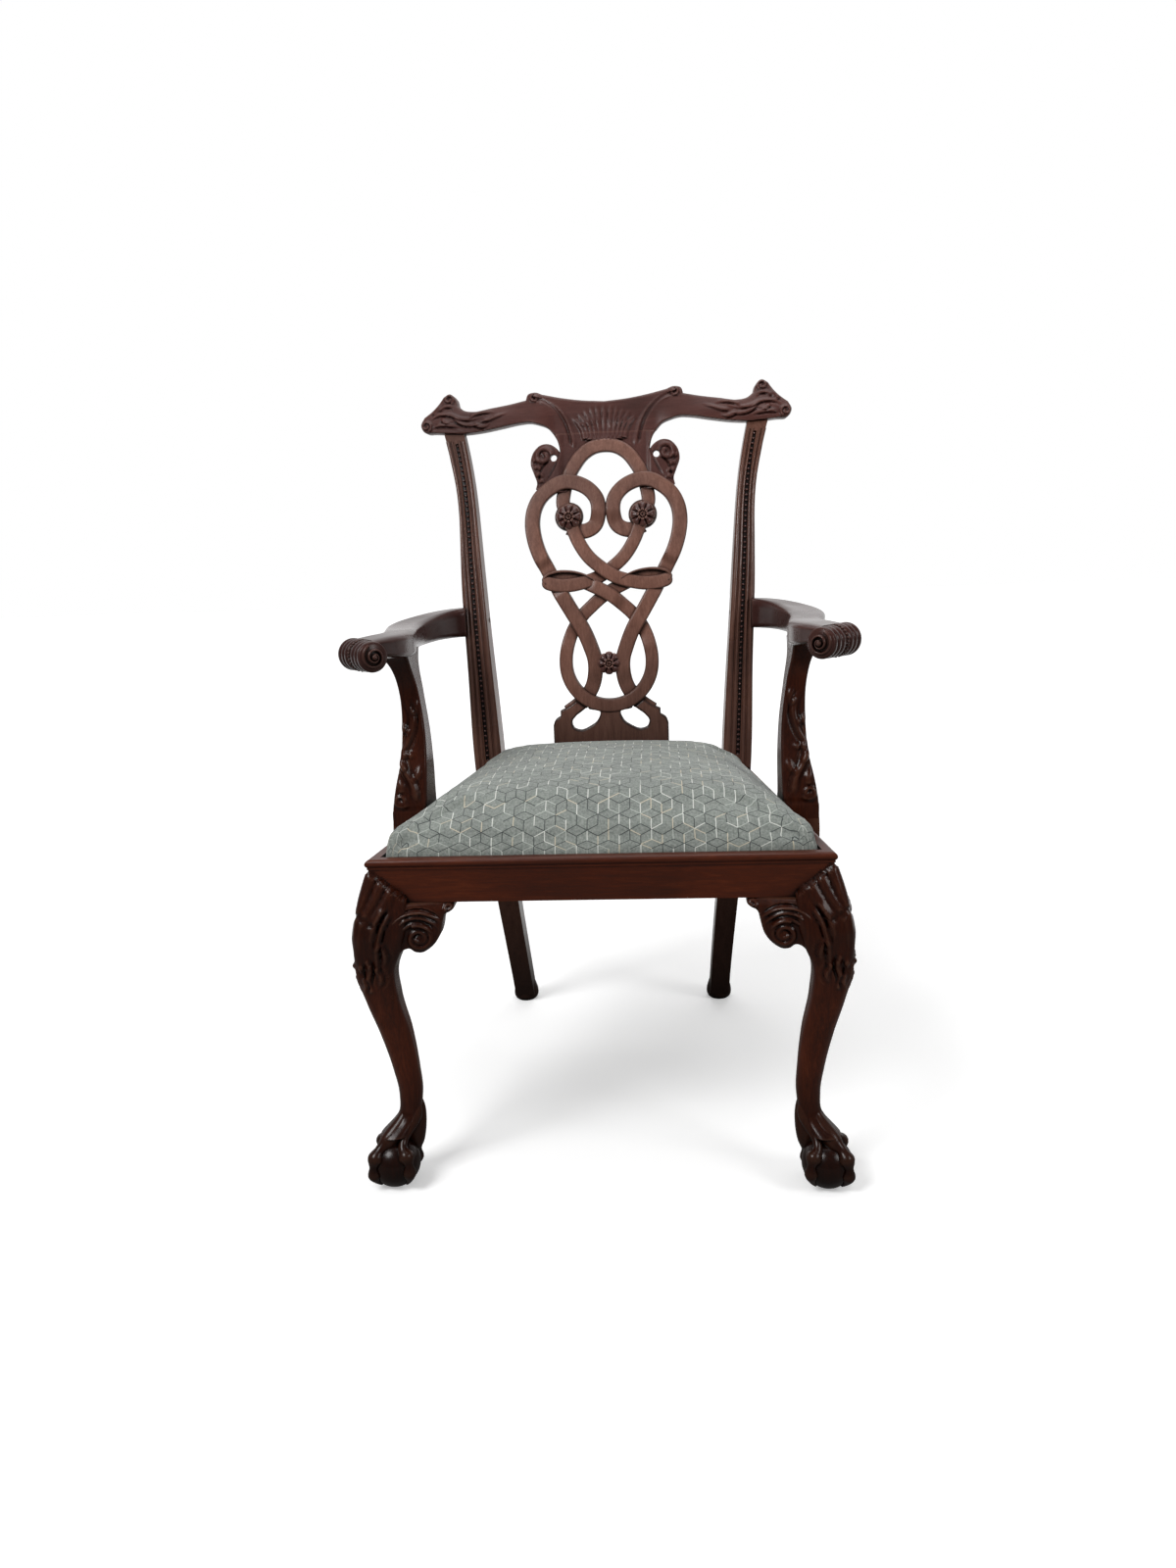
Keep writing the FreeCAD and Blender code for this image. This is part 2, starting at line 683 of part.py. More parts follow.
# The arm meets the post's outer side; what would lie in front of the post is cut away
def make_arm(post, tenon):
    sections = finer(arm_sections, section_steps)
    body = Part.makeLoft([arm_section(*section) for section in sections], True, True)
    front = Part.makeBox(arm_joint_x, back_y, rail_top, at(0, back_y / 2, rail_top))
    return one_solid(body.fuse(make_roll()).cut([post, front, tenon]))


def make_support_tenon():
    return Part.makeCylinder(support_tenon_radius, support_tenon_long, at(*support_tenon), at(0, 0, 1))


def make_support(arm, side_rail, tenon):
    tongue = side_x(support_middle)
    shoulder = (tongue, rail_top)
    foot = (tongue, rail_low)
    front_runs = [support_outer, [support_outer[-1], support_inner[0]], support_inner]
    front_runs += [[support_inner[-1], shoulder], [shoulder, foot], [foot, support_outer[0]]]
    side_runs = [support_front, [support_front[-1], support_rear[0]]]
    side_runs += [support_rear, [support_rear[-1], support_front[0]]]
    near, far = support_reach
    body = deep(outline(in_front, front_runs), near, far).common(wide(outline(in_side, side_runs), near, far))
    return one_solid(one_solid(body.cut([arm, side_rail])).fuse(tenon).cut(side_rail))


def make_front_block(leg):
    joint = front_half - leg_block
    corners = [(front_block_x, rail_thick), (joint, rail_thick), (joint, leg_block)]
    corners += [(side_x(y, rail_thick), y) for y in (leg_block, front_block_y)]
    return raised(polygon(in_plan, corners), block_low, rail_top).cut(leg)


def make_rear_block(post):
    rear = back_y + rear_rail_inset
    corners = [(side_x(rear_block_y, rail_thick), rear_block_y), (side_x(back_y, rail_thick), back_y)]
    corners += [(rear_block_end, back_y), (rear_block_end, rear), (rear_block_x, rear)]
    return one_solid(raised(polygon(in_plan, corners), block_low, rail_top).cut(post))


# A screw with a flat round head; the head's outer face is at the start point
def screw(start, way, long):
    head = Part.makeCylinder(screw_head_radius, screw_head, start, way)
    return head.fuse(Part.makeCylinder(screw_radius, long, start, way)).removeSplitter()


# The way in for the head, in front of the screw
def screw_access(start, way):
    return Part.makeCylinder(screw_head_radius, screw_reach, start, way * -1)


# Where the right side's corner blocks are screwed to the rails
def block_screw_places():
    places = [(at(*front_block_screw, block_screw_z), at(0, -1, 0))]
    for y in side_block_screws:
        places.append((at(side_x(y, block_screw_inset), y, block_screw_z), at(1, 0, 0)))
    places.append((at(*rear_block_screw, block_screw_z), at(0, 1, 0)))
    return places


def seat_outline(inset, z):
    front = lip_inside + seat_gap + inset
    rear = seat_rear - inset
    side = lip_inside + seat_gap + inset
    pairs = [(side_x(front, side), front), (side_x(rear, side), rear)]
    pairs += [(-x, y) for x, y in reversed(pairs)]
    sharp = Part.makePolygon([at(x, y, z) for x, y in pairs + pairs[:1]])
    return Part.Wire(sharp.makeOffset2D(-seat_corner).makeOffset2D(seat_corner).Edges)


# Clearance in the seat for the arm supports
def notch_cuts():
    corner = at(notch_inside, notch_front, notch_low)
    cut = Part.makeBox(leg_block * 2, notch_rear - notch_front, notch_high - notch_low, corner)
    return [cut, mirrored(cut)]


def make_seat_boards():
    front = lip_inside + seat_gap + cover_thick + board_gap
    rear = seat_rear - cover_thick - board_gap
    inner = front + seat_board_wide
    high = seat_low + seat_board
    inside = raised(Part.Face(seat_outline(cover_thick + board_gap, 0.0)), seat_low, high)
    side = side_strip(front, rear, front, inner, seat_low, high).common(inside)
    side = one_solid(side.cut(notch_cuts()))
    boards = {"seat_frame_right": side, "seat_frame_left": mirrored(side)}
    across = {"seat_frame_front": (front, inner), "seat_frame_rear": (rear - seat_board_wide, rear)}
    for name, (low_y, high_y) in across.items():
        corners = [(side_x(low_y, inner), low_y), (side_x(high_y, inner), high_y)]
        corners += [(-x, y) for x, y in reversed(corners)]
        boards[name] = raised(polygon(in_plan, corners), seat_low, high)
    return boards


def make_webbing():
    low = seat_low + seat_board
    strips = []
    for x in web_across:
        strips.append(Part.makeBox(web_wide, web_long, web_thick, at(x - web_wide / 2, web_front, low)))
    for y in web_along:
        half = side_x(y, web_inset)
        corner = at(-half, y - web_wide / 2, low + web_thick)
        strips.append(Part.makeBox(2 * half, web_wide, web_thick, corner))
    return Part.makeCompound(strips)


def make_pad():
    low = seat_low + seat_board + 2 * web_thick
    wires = [seat_outline(inset + cover_thick, low + rise) for rise, inset in pad_levels]
    return one_solid(Part.makeLoft(wires, True, True).cut(notch_cuts()))


# The cover: a skin over the pad, with a skirt down the sides of the frame
def make_cover(pad):
    low = seat_low + seat_board + 2 * web_thick
    wires = [seat_outline(0.0, seat_low + board_gap)]
    for rise, inset in pad_levels:
        wires.append(seat_outline(inset, low + rise + cover_thick))
    outer = Part.makeLoft(wires, True, True)
    core = raised(Part.Face(seat_outline(cover_thick, 0.0)), seat_low - board_gap, low)
    return one_solid(outer.cut([core, pad] + notch_cuts()))


def build():
    nodes = {}
    crest = make_crest()
    post = make_post(crest)
    crest = crest.cut([make_post_tenon(), mirrored(make_post_tenon())])
    posts = post.fuse(mirrored(post))
    splat = make_splat()
    rosette_x, rosette_z = upper_rosette
    rosette_places = ((-rosette_x, rosette_z), upper_rosette, lower_rosette)
    rosettes = [make_rosette(x, z, splat) for x, z in rosette_places]
    front_rail = make_front_rail()
    side_rail = make_side_rail()
    rear_rail = make_rear_rail(posts)
    leg = one_solid(make_front_leg().cut([front_rail, side_rail]))
    post = one_solid(post.cut([side_rail, rear_rail]))
    front_knee = make_front_knee(leg)
    side_knee = make_side_knee(front_knee, leg)
    tenon = make_support_tenon()
    arm = make_arm(post, tenon)
    support = make_support(arm, side_rail, tenon)
    lip_front, lip_rear = make_side_lips(support, post)

    screws = []
    access = []
    for start, way in block_screw_places():
        screws.append(screw(start, way, block_screw_long))
        access.append(screw_access(start, way))
    front_block = one_solid(make_front_block(leg).cut(screws + access))
    rear_block = one_solid(make_rear_block(post).cut(screws + access))

    support_screws = []
    for y in support_screw_y:
        start = at(side_x(y, rail_thick), y, support_screw_z)
        support_screws.append(screw(start, at(1, 0, 0), support_screw_long))
    support = one_solid(support.cut(support_screws))
    arm_screw = screw(at(*arm_screw_start), at(*arm_screw_way), arm_screw_long)
    arm_access = screw_access(at(*arm_screw_start), at(*arm_screw_way))
    post = one_solid(post.cut([arm_screw, arm_access]))
    arm = one_solid(arm.cut(arm_screw))
    side_rail = one_solid(side_rail.cut(screws + support_screws))
    both = screws + [mirrored(one) for one in screws]
    front_rail = one_solid(front_rail.cut(both))
    rear_rail = one_solid(rear_rail.cut(both))

    boards = make_seat_boards()
    pad = make_pad()

    nodes["crest_rail"] = crest.cut(splat)
    nodes["splat"] = splat
    nodes["splat_rosettes"] = Part.makeCompound(rosettes)
    nodes["splat_shoe"] = make_shoe(splat)
    nodes["front_seat_rail"] = front_rail
    nodes["rear_seat_rail"] = rear_rail
    nodes["front_lip"] = make_front_lip()
    pairs = {"back_post": post, "seat_rail": side_rail, "front_leg": leg, "front_knee_block": front_knee,
             "side_knee_block": side_knee, "arm": arm, "arm_support": support, "front_side_lip": lip_front,
             "rear_side_lip": lip_rear, "front_corner_block": front_block, "rear_corner_block": rear_block}
    for name, shape in pairs.items():
        nodes["right_" + name] = shape
        nodes["left_" + name] = mirrored(shape)
    nodes["corner_block_screws"] = Part.makeCompound(both)
    support_screws += [mirrored(one) for one in support_screws]
    nodes["arm_support_screws"] = Part.makeCompound(support_screws)
    nodes["arm_screws"] = Part.makeCompound([arm_screw, mirrored(arm_screw)])
    nodes.update(boards)
    nodes["seat_webbing"] = make_webbing()
    nodes["seat_pad"] = pad
    nodes["seat_cover"] = make_cover(pad)
    return nodes


os.makedirs("parts", exist_ok=True)
for name, shape in build().items():
    shape.translate(at(0, -middle_y, 0))
    solids = shape.Solids
    state = "valid" if shape.isValid() else "NOT VALID"
    print(name, len(solids), "solids", round(shape.Volume / 1000, 1), "cm3", state)
    whole = solids[0] if len(solids) == 1 else Part.makeCompound(solids)
    whole.exportStep("parts/" + name + ".step")
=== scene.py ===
import math
import bpy
import bmesh
import numpy as np
from mathutils import Matrix, Vector


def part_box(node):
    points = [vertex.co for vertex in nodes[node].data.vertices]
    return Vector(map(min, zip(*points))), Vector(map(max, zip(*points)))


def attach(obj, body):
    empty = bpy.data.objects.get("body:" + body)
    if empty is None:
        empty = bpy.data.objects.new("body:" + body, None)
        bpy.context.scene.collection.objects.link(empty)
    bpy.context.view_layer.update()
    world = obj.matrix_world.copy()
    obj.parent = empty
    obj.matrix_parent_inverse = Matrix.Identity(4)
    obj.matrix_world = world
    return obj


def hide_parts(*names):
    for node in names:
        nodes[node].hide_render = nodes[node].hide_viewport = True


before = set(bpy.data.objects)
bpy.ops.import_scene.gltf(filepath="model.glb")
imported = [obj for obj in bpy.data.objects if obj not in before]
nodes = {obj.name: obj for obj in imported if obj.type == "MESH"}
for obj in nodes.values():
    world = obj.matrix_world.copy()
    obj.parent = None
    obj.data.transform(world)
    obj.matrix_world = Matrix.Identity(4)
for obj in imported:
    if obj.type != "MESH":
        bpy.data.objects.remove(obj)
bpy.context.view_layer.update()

# Drawing values are in millimetres, with y = 0 on the front rail's face
mm = 0.001
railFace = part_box("front_seat_rail")[0].y
frontHalf, rearHalf = 270.5, 216.0   # half the seat's width at the front and at the back
backY, bendZ, backRadius = 446.0, 480.0, 1075.0   # the back's front face: place, where it bends, how much
sideAngle = math.atan((frontHalf - rearHalf) / backY)   # splay of the side rails
farOff = 1e9


def toFrame(points):
    return np.asarray(points, float) * mm + np.array([0, railFace, 0])


def backSurface(x, z, offset):   # a point behind the back's curved front by an offset
    rise = np.maximum(0, z - bendZ)
    radius = backRadius - offset
    return np.stack([x, backY + backRadius - np.sqrt(radius * radius - rise * rise), z], -1)


def smoothLine(points, step):   # smooth curve through points, evenly spaced
    p = np.asarray(points, float)
    if len(p) > 2:
        d = np.maximum(1e-6, np.linalg.norm(np.diff(p, axis=0), axis=1))[:, None]
        s = np.diff(p, axis=0) / d
        t = np.vstack([s[:1], (s[:-1] * d[1:] + s[1:] * d[:-1]) / (d[:-1] + d[1:]), s[-1:]])
        u = np.linspace(0, 1, 25)[:-1, None]
        h = [2 * u**3 - 3 * u**2 + 1, u**3 - 2 * u**2 + u, 3 * u**2 - 2 * u**3, u**3 - u**2]
        runs = [h[0] * p[i] + h[1] * d[i] * t[i] + h[2] * p[i + 1] + h[3] * d[i] * t[i + 1] for i in range(len(d))]
        p = np.vstack(runs + [p[-1:]])
    along = np.concatenate([[0], np.cumsum(np.linalg.norm(np.diff(p, axis=0), axis=1))])
    where = np.linspace(0, along[-1], max(2, int(round(along[-1] / step)) + 1))
    return np.stack([np.interp(where, along, p[:, k]) for k in range(p.shape[1])], 1)


def mirrorX(points):
    return np.asarray(points, float) * np.array([-1] + [1] * (np.shape(points)[1] - 1))


def flipped(shell):
    return mirrorX(shell[0]), shell[1]


sides = (("right", lambda shell: shell), ("left", flipped))


def ease(t):
    t = np.clip(t, 0, 1)
    return t * t * (3 - 2 * t)


def buildPiece(name, verts, faces, body, material, replaced=(), slot="mahogany", sharpAngle=38):
    mesh = bpy.data.meshes.new(name)
    mesh.from_pydata(toFrame(verts).tolist(), [], [list(map(int, f)) for f in faces])
    bm = bmesh.new()
    bm.from_mesh(mesh)
    bmesh.ops.remove_doubles(bm, verts=bm.verts, dist=0.000005)
    bmesh.ops.recalc_face_normals(bm, faces=bm.faces)
    for e in bm.edges:
        if len(e.link_faces) == 2 and e.calc_face_angle(0) > math.radians(sharpAngle):
            e.smooth = False
    for f in bm.faces:
        f.smooth = True
    bm.to_mesh(mesh)
    bm.free()
    piece = bpy.data.objects.new(name, mesh)
    bpy.context.scene.collection.objects.link(piece)
    mesh.materials.append(material)
    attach(piece, body)
    if replaced:
        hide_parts(*replaced)
    return piece


def joinShells(shells):   # several closed shells as one vertex and face list
    verts, faces, base = [], [], 0
    for v, f in shells:
        verts.append(v)
        faces += [[i + base for i in q] for q in f]
        base += len(v)
    return np.vstack(verts), faces


def gridFaces(rows, cols, closed):
    faces = []
    for r in range(rows - 1):
        for c in range(cols if closed else cols - 1):
            d = (c + 1) % cols
            faces.append([r * cols + c, r * cols + d, (r + 1) * cols + d, (r + 1) * cols + c])
    return faces


def tube(rings):   # closed skin over rings of equal count, with capped ends
    rows, cols = rings.shape[:2]
    faces = gridFaces(rows, cols, True)
    faces += [list(range(cols)), [(rows - 1) * cols + c for c in reversed(range(cols))]]
    return rings.reshape(-1, 3), faces


def band(line, width, level, back, crown=0.5, edge=2.6, across=17, surface=backSurface):   # a strap with eased edges
    along = np.gradient(line, axis=0)
    along /= np.linalg.norm(along, axis=1)[:, None]
    side = np.stack([-along[:, 1], along[:, 0]], 1)
    half = np.broadcast_to(np.asarray(width, float) / 2, (len(line),))
    t = np.sin(np.linspace(-1, 1, across) * math.pi / 2)
    inset = np.maximum(0, edge - (1 - np.abs(t))[None] * half[:, None])
    front = level[:, None] - crown * (1 - t**2)[None] + edge - np.sqrt(np.maximum(0, edge**2 - inset**2))
    spot = line[:, None] + side[:, None] * (half[:, None] * t[None])[..., None]
    top = surface(spot[..., 0], spot[..., 1], front)
    ends = spot[:, [-1, 0]]
    low = surface(ends[..., 0], ends[..., 1], np.full(ends.shape[:2], float(back)))
    return tube(np.concatenate([top, low], 1))


def levelsAlong(line, keys):   # front offsets that ease from one key point to the next
    spots = sorted((int(np.argmin(np.linalg.norm(line - np.array(k[0]), axis=1))), k[1]) for k in keys)
    out = np.full(len(line), float(spots[0][1]))
    for (i, a), (j, b) in zip(spots, spots[1:]):
        if j > i:
            out[i:j + 1] = a + (b - a) * ease(np.linspace(0, 1, j - i + 1))
    out[spots[-1][0]:] = spots[-1][1]
    return out


def toLine(x, z, line):   # distance to a polyline, and the share of its length there
    best = np.full(x.shape, farOff)
    share = np.zeros(x.shape)
    steps = np.linalg.norm(np.diff(line, axis=0), axis=1)
    start = np.concatenate([[0], np.cumsum(steps)])
    for i in range(len(steps)):
        ax, az = line[i]
        dx, dz = line[i + 1] - line[i]
        t = np.clip(((x - ax) * dx + (z - az) * dz) / max(1e-9, steps[i]**2), 0, 1)
        d = np.hypot(x - ax - t * dx, z - az - t * dz)
        near = d < best
        best = np.where(near, d, best)
        share = np.where(near, (start[i] + t * steps[i]) / start[-1], share)
    return best, share


def stroke(x, z, points, width, height, ends=(0.15, 0.25), ridge=1.0):   # carved line that tapers at its ends
    line = smoothLine(points, 2.5)
    out = np.zeros(x.shape)
    lo, hi = line.min(0) - width, line.max(0) + width
    near = (x > lo[0]) & (x < hi[0]) & (z > lo[1]) & (z < hi[1])
    if not near.any():
        return out
    d, s = toLine(x[near], z[near], line)
    taper = np.ones(s.shape)
    if ends[0] > 0:
        taper *= ease(s / ends[0])
    if ends[1] > 0:
        taper *= ease((1 - s) / ends[1])
    wide = width * (0.45 + 0.55 * taper)
    out[near] = height * taper * np.clip(1 - (d / wide)**2, 0, 1)**ridge
    return out


def inside(x, z, loops):
    odd = np.zeros(x.shape, bool)
    for loop in loops:
        for (ax, az), (bx, bz) in zip(loop, np.roll(loop, -1, axis=0)):
            if az != bz:
                odd ^= ((az > z) != (bz > z)) & (x < (bx - ax) * (z - az) / (bz - az) + ax)
    return odd


def plate(loops, pitch, front, back, surface=backSurface):   # carved board: dense front over an outline with holes
    loops = [np.asarray(l, float) for l in loops]
    lo, hi = loops[0].min(0) - pitch, loops[0].max(0) + pitch
    gx = np.arange(lo[0], hi[0] + pitch, pitch)
    gz = np.arange(lo[1], hi[1] + pitch, pitch)
    cx, cz = np.meshgrid(gx[:-1] + pitch / 2, gz[:-1] + pitch / 2, indexing="ij")
    keep = inside(cx, cz, loops)
    used = np.zeros((len(gx), len(gz)), bool)
    for i, k in ((0, 0), (1, 0), (0, 1), (1, 1)):
        used[i:len(gx) - 1 + i, k:len(gz) - 1 + k] |= keep
    index = np.full(used.shape, -1)
    index[used] = np.arange(used.sum())
    ii, kk = np.nonzero(keep)
    quads = np.stack([index[ii, kk], index[ii + 1, kk], index[ii + 1, kk + 1], index[ii, kk + 1]], 1)
    vx, vz = np.meshgrid(gx, gz, indexing="ij")
    x, z = vx[used], vz[used]
    edges = np.vstack([quads[:, [0, 1]], quads[:, [1, 2]], quads[:, [2, 3]], quads[:, [3, 0]]])
    key = np.sort(edges, 1)
    _, first, count = np.unique(key[:, 0] * (len(x) + 1) + key[:, 1], return_index=True, return_counts=True)
    rim = edges[first[count == 1]]
    edgeVerts = np.unique(rim)
    dist = np.full(x.shape, farOff)
    nearest = np.zeros((len(x), 2))
    for loop in loops:
        for (ax, az), (bx, bz) in zip(loop, np.roll(loop, -1, axis=0)):
            dx, dz = bx - ax, bz - az
            t = np.clip(((x - ax) * dx + (z - az) * dz) / max(1e-9, dx * dx + dz * dz), 0, 1)
            px, pz = ax + t * dx, az + t * dz
            d = np.hypot(x - px, z - pz)
            near = d < dist
            dist[near] = d[near]
            nearest[near] = np.stack([px, pz], 1)[near]
    x[edgeVerts], z[edgeVerts], dist[edgeVerts] = nearest[edgeVerts, 0], nearest[edgeVerts, 1], 0
    top = surface(x, z, front(x, z, dist))
    low = surface(x, z, np.broadcast_to(np.asarray(back(x, z) if callable(back) else back, float), x.shape))
    n = len(x)
    faces = quads.tolist() + (quads[:, ::-1] + n).tolist()
    faces += [[b, a, a + n, b + n] for a, b in rim.tolist()]
    return np.vstack([top, low]), faces


def eased(dist, edge):   # how far a rounded edge drops near the outline
    gap = np.clip(edge - dist, 0, edge)
    return edge - np.sqrt(np.maximum(0, edge**2 - gap**2))


def spiralLine(x, z, outer, inner, turns, start, way=1):
    t = np.linspace(0, 1, int(28 * turns))
    angle = math.radians(start) + way * t * turns * 2 * math.pi
    radius = outer + (inner - outer) * t**0.9
    return np.stack([x + radius * np.cos(angle), z + radius * np.sin(angle)], 1)


def ringLine(x, z, radius, count):   # points of a circle
    a = np.linspace(0, 2 * math.pi, count, endpoint=False)
    return np.stack([x + radius * np.cos(a), z + radius * np.sin(a)], 1)


def roundShell(centre, radii, falls, cols):   # rings round a ball, from its top down
    a = np.asarray(falls)[:, None]
    b = np.linspace(0, 2 * math.pi, cols, endpoint=False)[None]
    unit = np.stack([np.sin(a) * np.cos(b), np.sin(a) * np.sin(b), np.cos(a) + 0 * b], -1)
    return tube(unit * np.asarray(radii, float) + np.asarray(centre, float))


def blob(centre, radii, rows=7, cols=10):   # small rounded bead
    return roundShell(centre, radii, np.linspace(0, math.pi, rows), cols)


# Materials
def nodeMaterial(name):
    mat = bpy.data.materials.new(name)
    mat.use_nodes = True
    tree = mat.node_tree
    tree.nodes.clear()
    shader = tree.nodes.new("ShaderNodeBsdfPrincipled")
    out = tree.nodes.new("ShaderNodeOutputMaterial")
    tree.links.new(shader.outputs[0], out.inputs[0])
    return mat, tree, shader


def feed(tree, socket, value):   # a link, or a plain value on the socket itself
    if isinstance(value, bpy.types.NodeSocket):
        tree.links.new(value, socket)
    else:
        socket.default_value = value


def feedShader(tree, shader, values):
    for key, value in values.items():
        feed(tree, shader.inputs[key], value)


def addNode(tree, kind, values=None, **links):
    node = tree.nodes.new("ShaderNode" + kind)
    for key, value in (values or {}).items():
        if key in node.inputs.keys():
            node.inputs[key].default_value = value
        else:
            setattr(node, key, value)
    for key, source in links.items():
        tree.links.new(source, node.inputs[key])
    return node


def calc(tree, kind, *values):
    node = tree.nodes.new("ShaderNodeMath")
    node.operation = kind
    for socket, value in zip(node.inputs, values):
        feed(tree, socket, value)
    return node.outputs[0]


def ramp(tree, source, stops, blend="LINEAR"):
    node = tree.nodes.new("ShaderNodeValToRGB")
    node.color_ramp.interpolation = blend
    while len(node.color_ramp.elements) < len(stops):
        node.color_ramp.elements.new(0.5)
    for element, (pos, colour) in zip(node.color_ramp.elements, stops):
        element.position = pos
        element.color = (*colour, 1)
    tree.links.new(source, node.inputs[0])
    return node.outputs[0]


def grey(*stops):   # ramp stops without colour
    return [(pos, (shade,) * 3) for pos, shade in stops]


def mixColour(tree, kind, share, a, b):
    node = tree.nodes.new("ShaderNodeMix")
    node.data_type = "RGBA"
    node.blend_type = kind
    for index, value in ((0, share), (6, a), (7, b)):
        feed(tree, node.inputs[index], value)
    return node.outputs[2]


woodTones = {   # dark, middle and light of the grain, then the edge colour: rubbed wear with painted highlight, and for the carved tone a painted dark outline instead
    "carved": ((0.100, 0.043, 0.031), (0.188, 0.089, 0.065), (0.288, 0.147, 0.109), (0.032, 0.0144, 0.0112)),
    "deep": ((0.0256, 0.008, 0.0048), (0.072, 0.0144, 0.00512), (0.134, 0.0312, 0.0112), (0.24, 0.106, 0.064)),
    "crest": ((0.060, 0.023, 0.020), (0.081, 0.031, 0.026), (0.120, 0.049, 0.042), (0.304, 0.16, 0.125)),
    "post": ((0.072, 0.031, 0.022), (0.120, 0.056, 0.040), (0.180, 0.087, 0.064), (0.272, 0.136, 0.0896)),
    "rail": ((0.0416, 0.0115, 0.00608), (0.072, 0.0134, 0.004), (0.131, 0.0275, 0.008), (0.32, 0.16, 0.104)),
    # near-black tones for the bead groove on the posts: painted shade
    "creaseShade": ((0.0064, 0.0032, 0.00256), (0.0128, 0.00576, 0.00448), (0.0224, 0.0096, 0.0072), (0.032, 0.016, 0.0128)),
    "beech": ((0.16, 0.088, 0.0448), (0.272, 0.16, 0.0832), (0.384, 0.24, 0.131), (0.48, 0.32, 0.192)),
}
woodSet = dict(coatRough=0.15, duller=0.16, bump=0.10, bumpDepth=0.0006, creaseReach=0.009)
grainUp, grainAcross, grainBack = (55, 55, 4.5), (4.5, 55, 55), (55, 4.5, 55)   # noise scale along x, y, z
# colour factor from ambient occlusion: painted shade in creases
creaseShadeRamp = [(0.40, (0.04, 0.03, 0.028)), (0.60, (0.30, 0.26, 0.25)), (0.80, (0.82, 0.8, 0.79)), (0.95, (1, 1, 1))]


def woodMaterial(name, tone, grain, gloss, edgeLightAndWear=0, shadeByHeight=None, creaseShade=True, shine=0.22):   # shadeByHeight: painted shade and light, a grey ramp over height
    dark, mid, light, edgeLightAndWearTone = woodTones[tone]
    mat, tree, shader = nodeMaterial(name)
    where = addNode(tree, "TexCoord").outputs["Object"]
    lengths = addNode(tree, "Mapping", {"Scale": grain}, Vector=where).outputs[0]
    fine = addNode(tree, "TexNoise", {"Scale": 9.0, "Detail": 8.0, "Roughness": 0.62, "Distortion": 0.5},
                   Vector=lengths).outputs[0]
    broad = addNode(tree, "TexNoise", {"Scale": 1.6, "Detail": 3.0, "Distortion": 0.9}, Vector=lengths).outputs[0]
    pores = addNode(tree, "TexNoise", {"Scale": 60.0, "Detail": 2.0}, Vector=lengths).outputs[0]
    patch = addNode(tree, "TexNoise", {"Scale": 7.0, "Detail": 3.0}, Vector=where).outputs[0]
    blend = calc(tree, "MULTIPLY_ADD", fine, 0.55, calc(tree, "MULTIPLY", broad, 0.45))
    base = ramp(tree, blend, [(0.26, dark), (0.5, mid), (0.76, light)])
    streak = ramp(tree, pores, [(0.34, (0.62, 0.56, 0.54)), (0.5, (1, 1, 1))])
    base = mixColour(tree, "MULTIPLY", 0.55, base, streak)
    shade = ramp(tree, patch, [(0.3, (0.62, 0.6, 0.6)), (0.62, (1.12, 1.08, 1.05))])
    base = mixColour(tree, "MULTIPLY", 0.7, base, shade)
    if creaseShade:   # painted shade: ambient occlusion darkens the colour in creases and where parts overlap
        crease = addNode(tree, "AmbientOcclusion", {"samples": 8, "Distance": woodSet["creaseReach"]}).outputs["AO"]
        base = mixColour(tree, "MULTIPLY", 1.0, base, ramp(tree, crease, creaseShadeRamp))
    if edgeLightAndWear:   # painted shade in hollows and a painted edge colour, only on dense meshes, where the curvature is known point by point
        point = addNode(tree, "NewGeometry").outputs["Pointiness"]
        # painted shade: concave points are darkened
        hollowShade = ramp(tree, point, [(0.40, (0.10, 0.075, 0.07)), (0.497, (1, 1, 1))])
        base = mixColour(tree, "MULTIPLY", 0.9, base, hollowShade)
        # edges take the fourth tone: rubbed wear with painted highlight, and on the carved tone a painted dark outline
        base = mixColour(tree, "MIX", ramp(tree, point, grey((0.515, 0), (0.55, edgeLightAndWear))), base, (*edgeLightAndWearTone, 1))
    # painted shade and light by height: darker low down, lighter where the ramp goes above one
    if shadeByHeight:
        high = addNode(tree, "SeparateXYZ", Vector=where).outputs[2]
        base = mixColour(tree, "MULTIPLY", 1.0, base, ramp(tree, high, grey(*shadeByHeight)))
    lift = addNode(tree, "Bump", {"Strength": woodSet["bump"], "Distance": woodSet["bumpDepth"]}, Height=pores)
    feedShader(tree, shader, {"Base Color": base, "Normal": lift.outputs[0],
                              "Roughness": ramp(tree, patch, grey((0.25, gloss + woodSet["duller"]), (0.7, gloss))),
                              "Specular IOR Level": shine, "Coat Weight": shine / 2,
                              "Coat Roughness": woodSet["coatRough"]})
    return mat


# the splat is painted darker towards its base and lighter at the top, and its carved tone gives the strap edges a
# painted dark outline
splatWood = woodMaterial("splatWood", "carved", grainUp, gloss=0.33, edgeLightAndWear=0.8,
                         shadeByHeight=[(0.46, 0.33), (0.51, 0.55), (0.54, 0.84), (0.70, 1.02), (0.85, 1.10)])
shoulderWood = woodMaterial("shoulderWood", "crest", grainUp, gloss=0.30, edgeLightAndWear=0.12, shine=0.15)
crestWood = woodMaterial("crestWood", "crest", grainAcross, gloss=0.30, edgeLightAndWear=0.12, shine=0.15)
# the back posts are painted darker towards the floor: painted shade
postWood = woodMaterial("postWood", "post", grainUp, gloss=0.26, shine=0.12, shadeByHeight=[(0.03, 0.22), (0.25, 0.55), (0.47, 1)])
reedWood = woodMaterial("reedWood", "post", grainUp, gloss=0.20, shine=0.34)
beadWood = woodMaterial("beadWood", "crest", grainUp, gloss=0.18, creaseShade=False, shine=0.40)
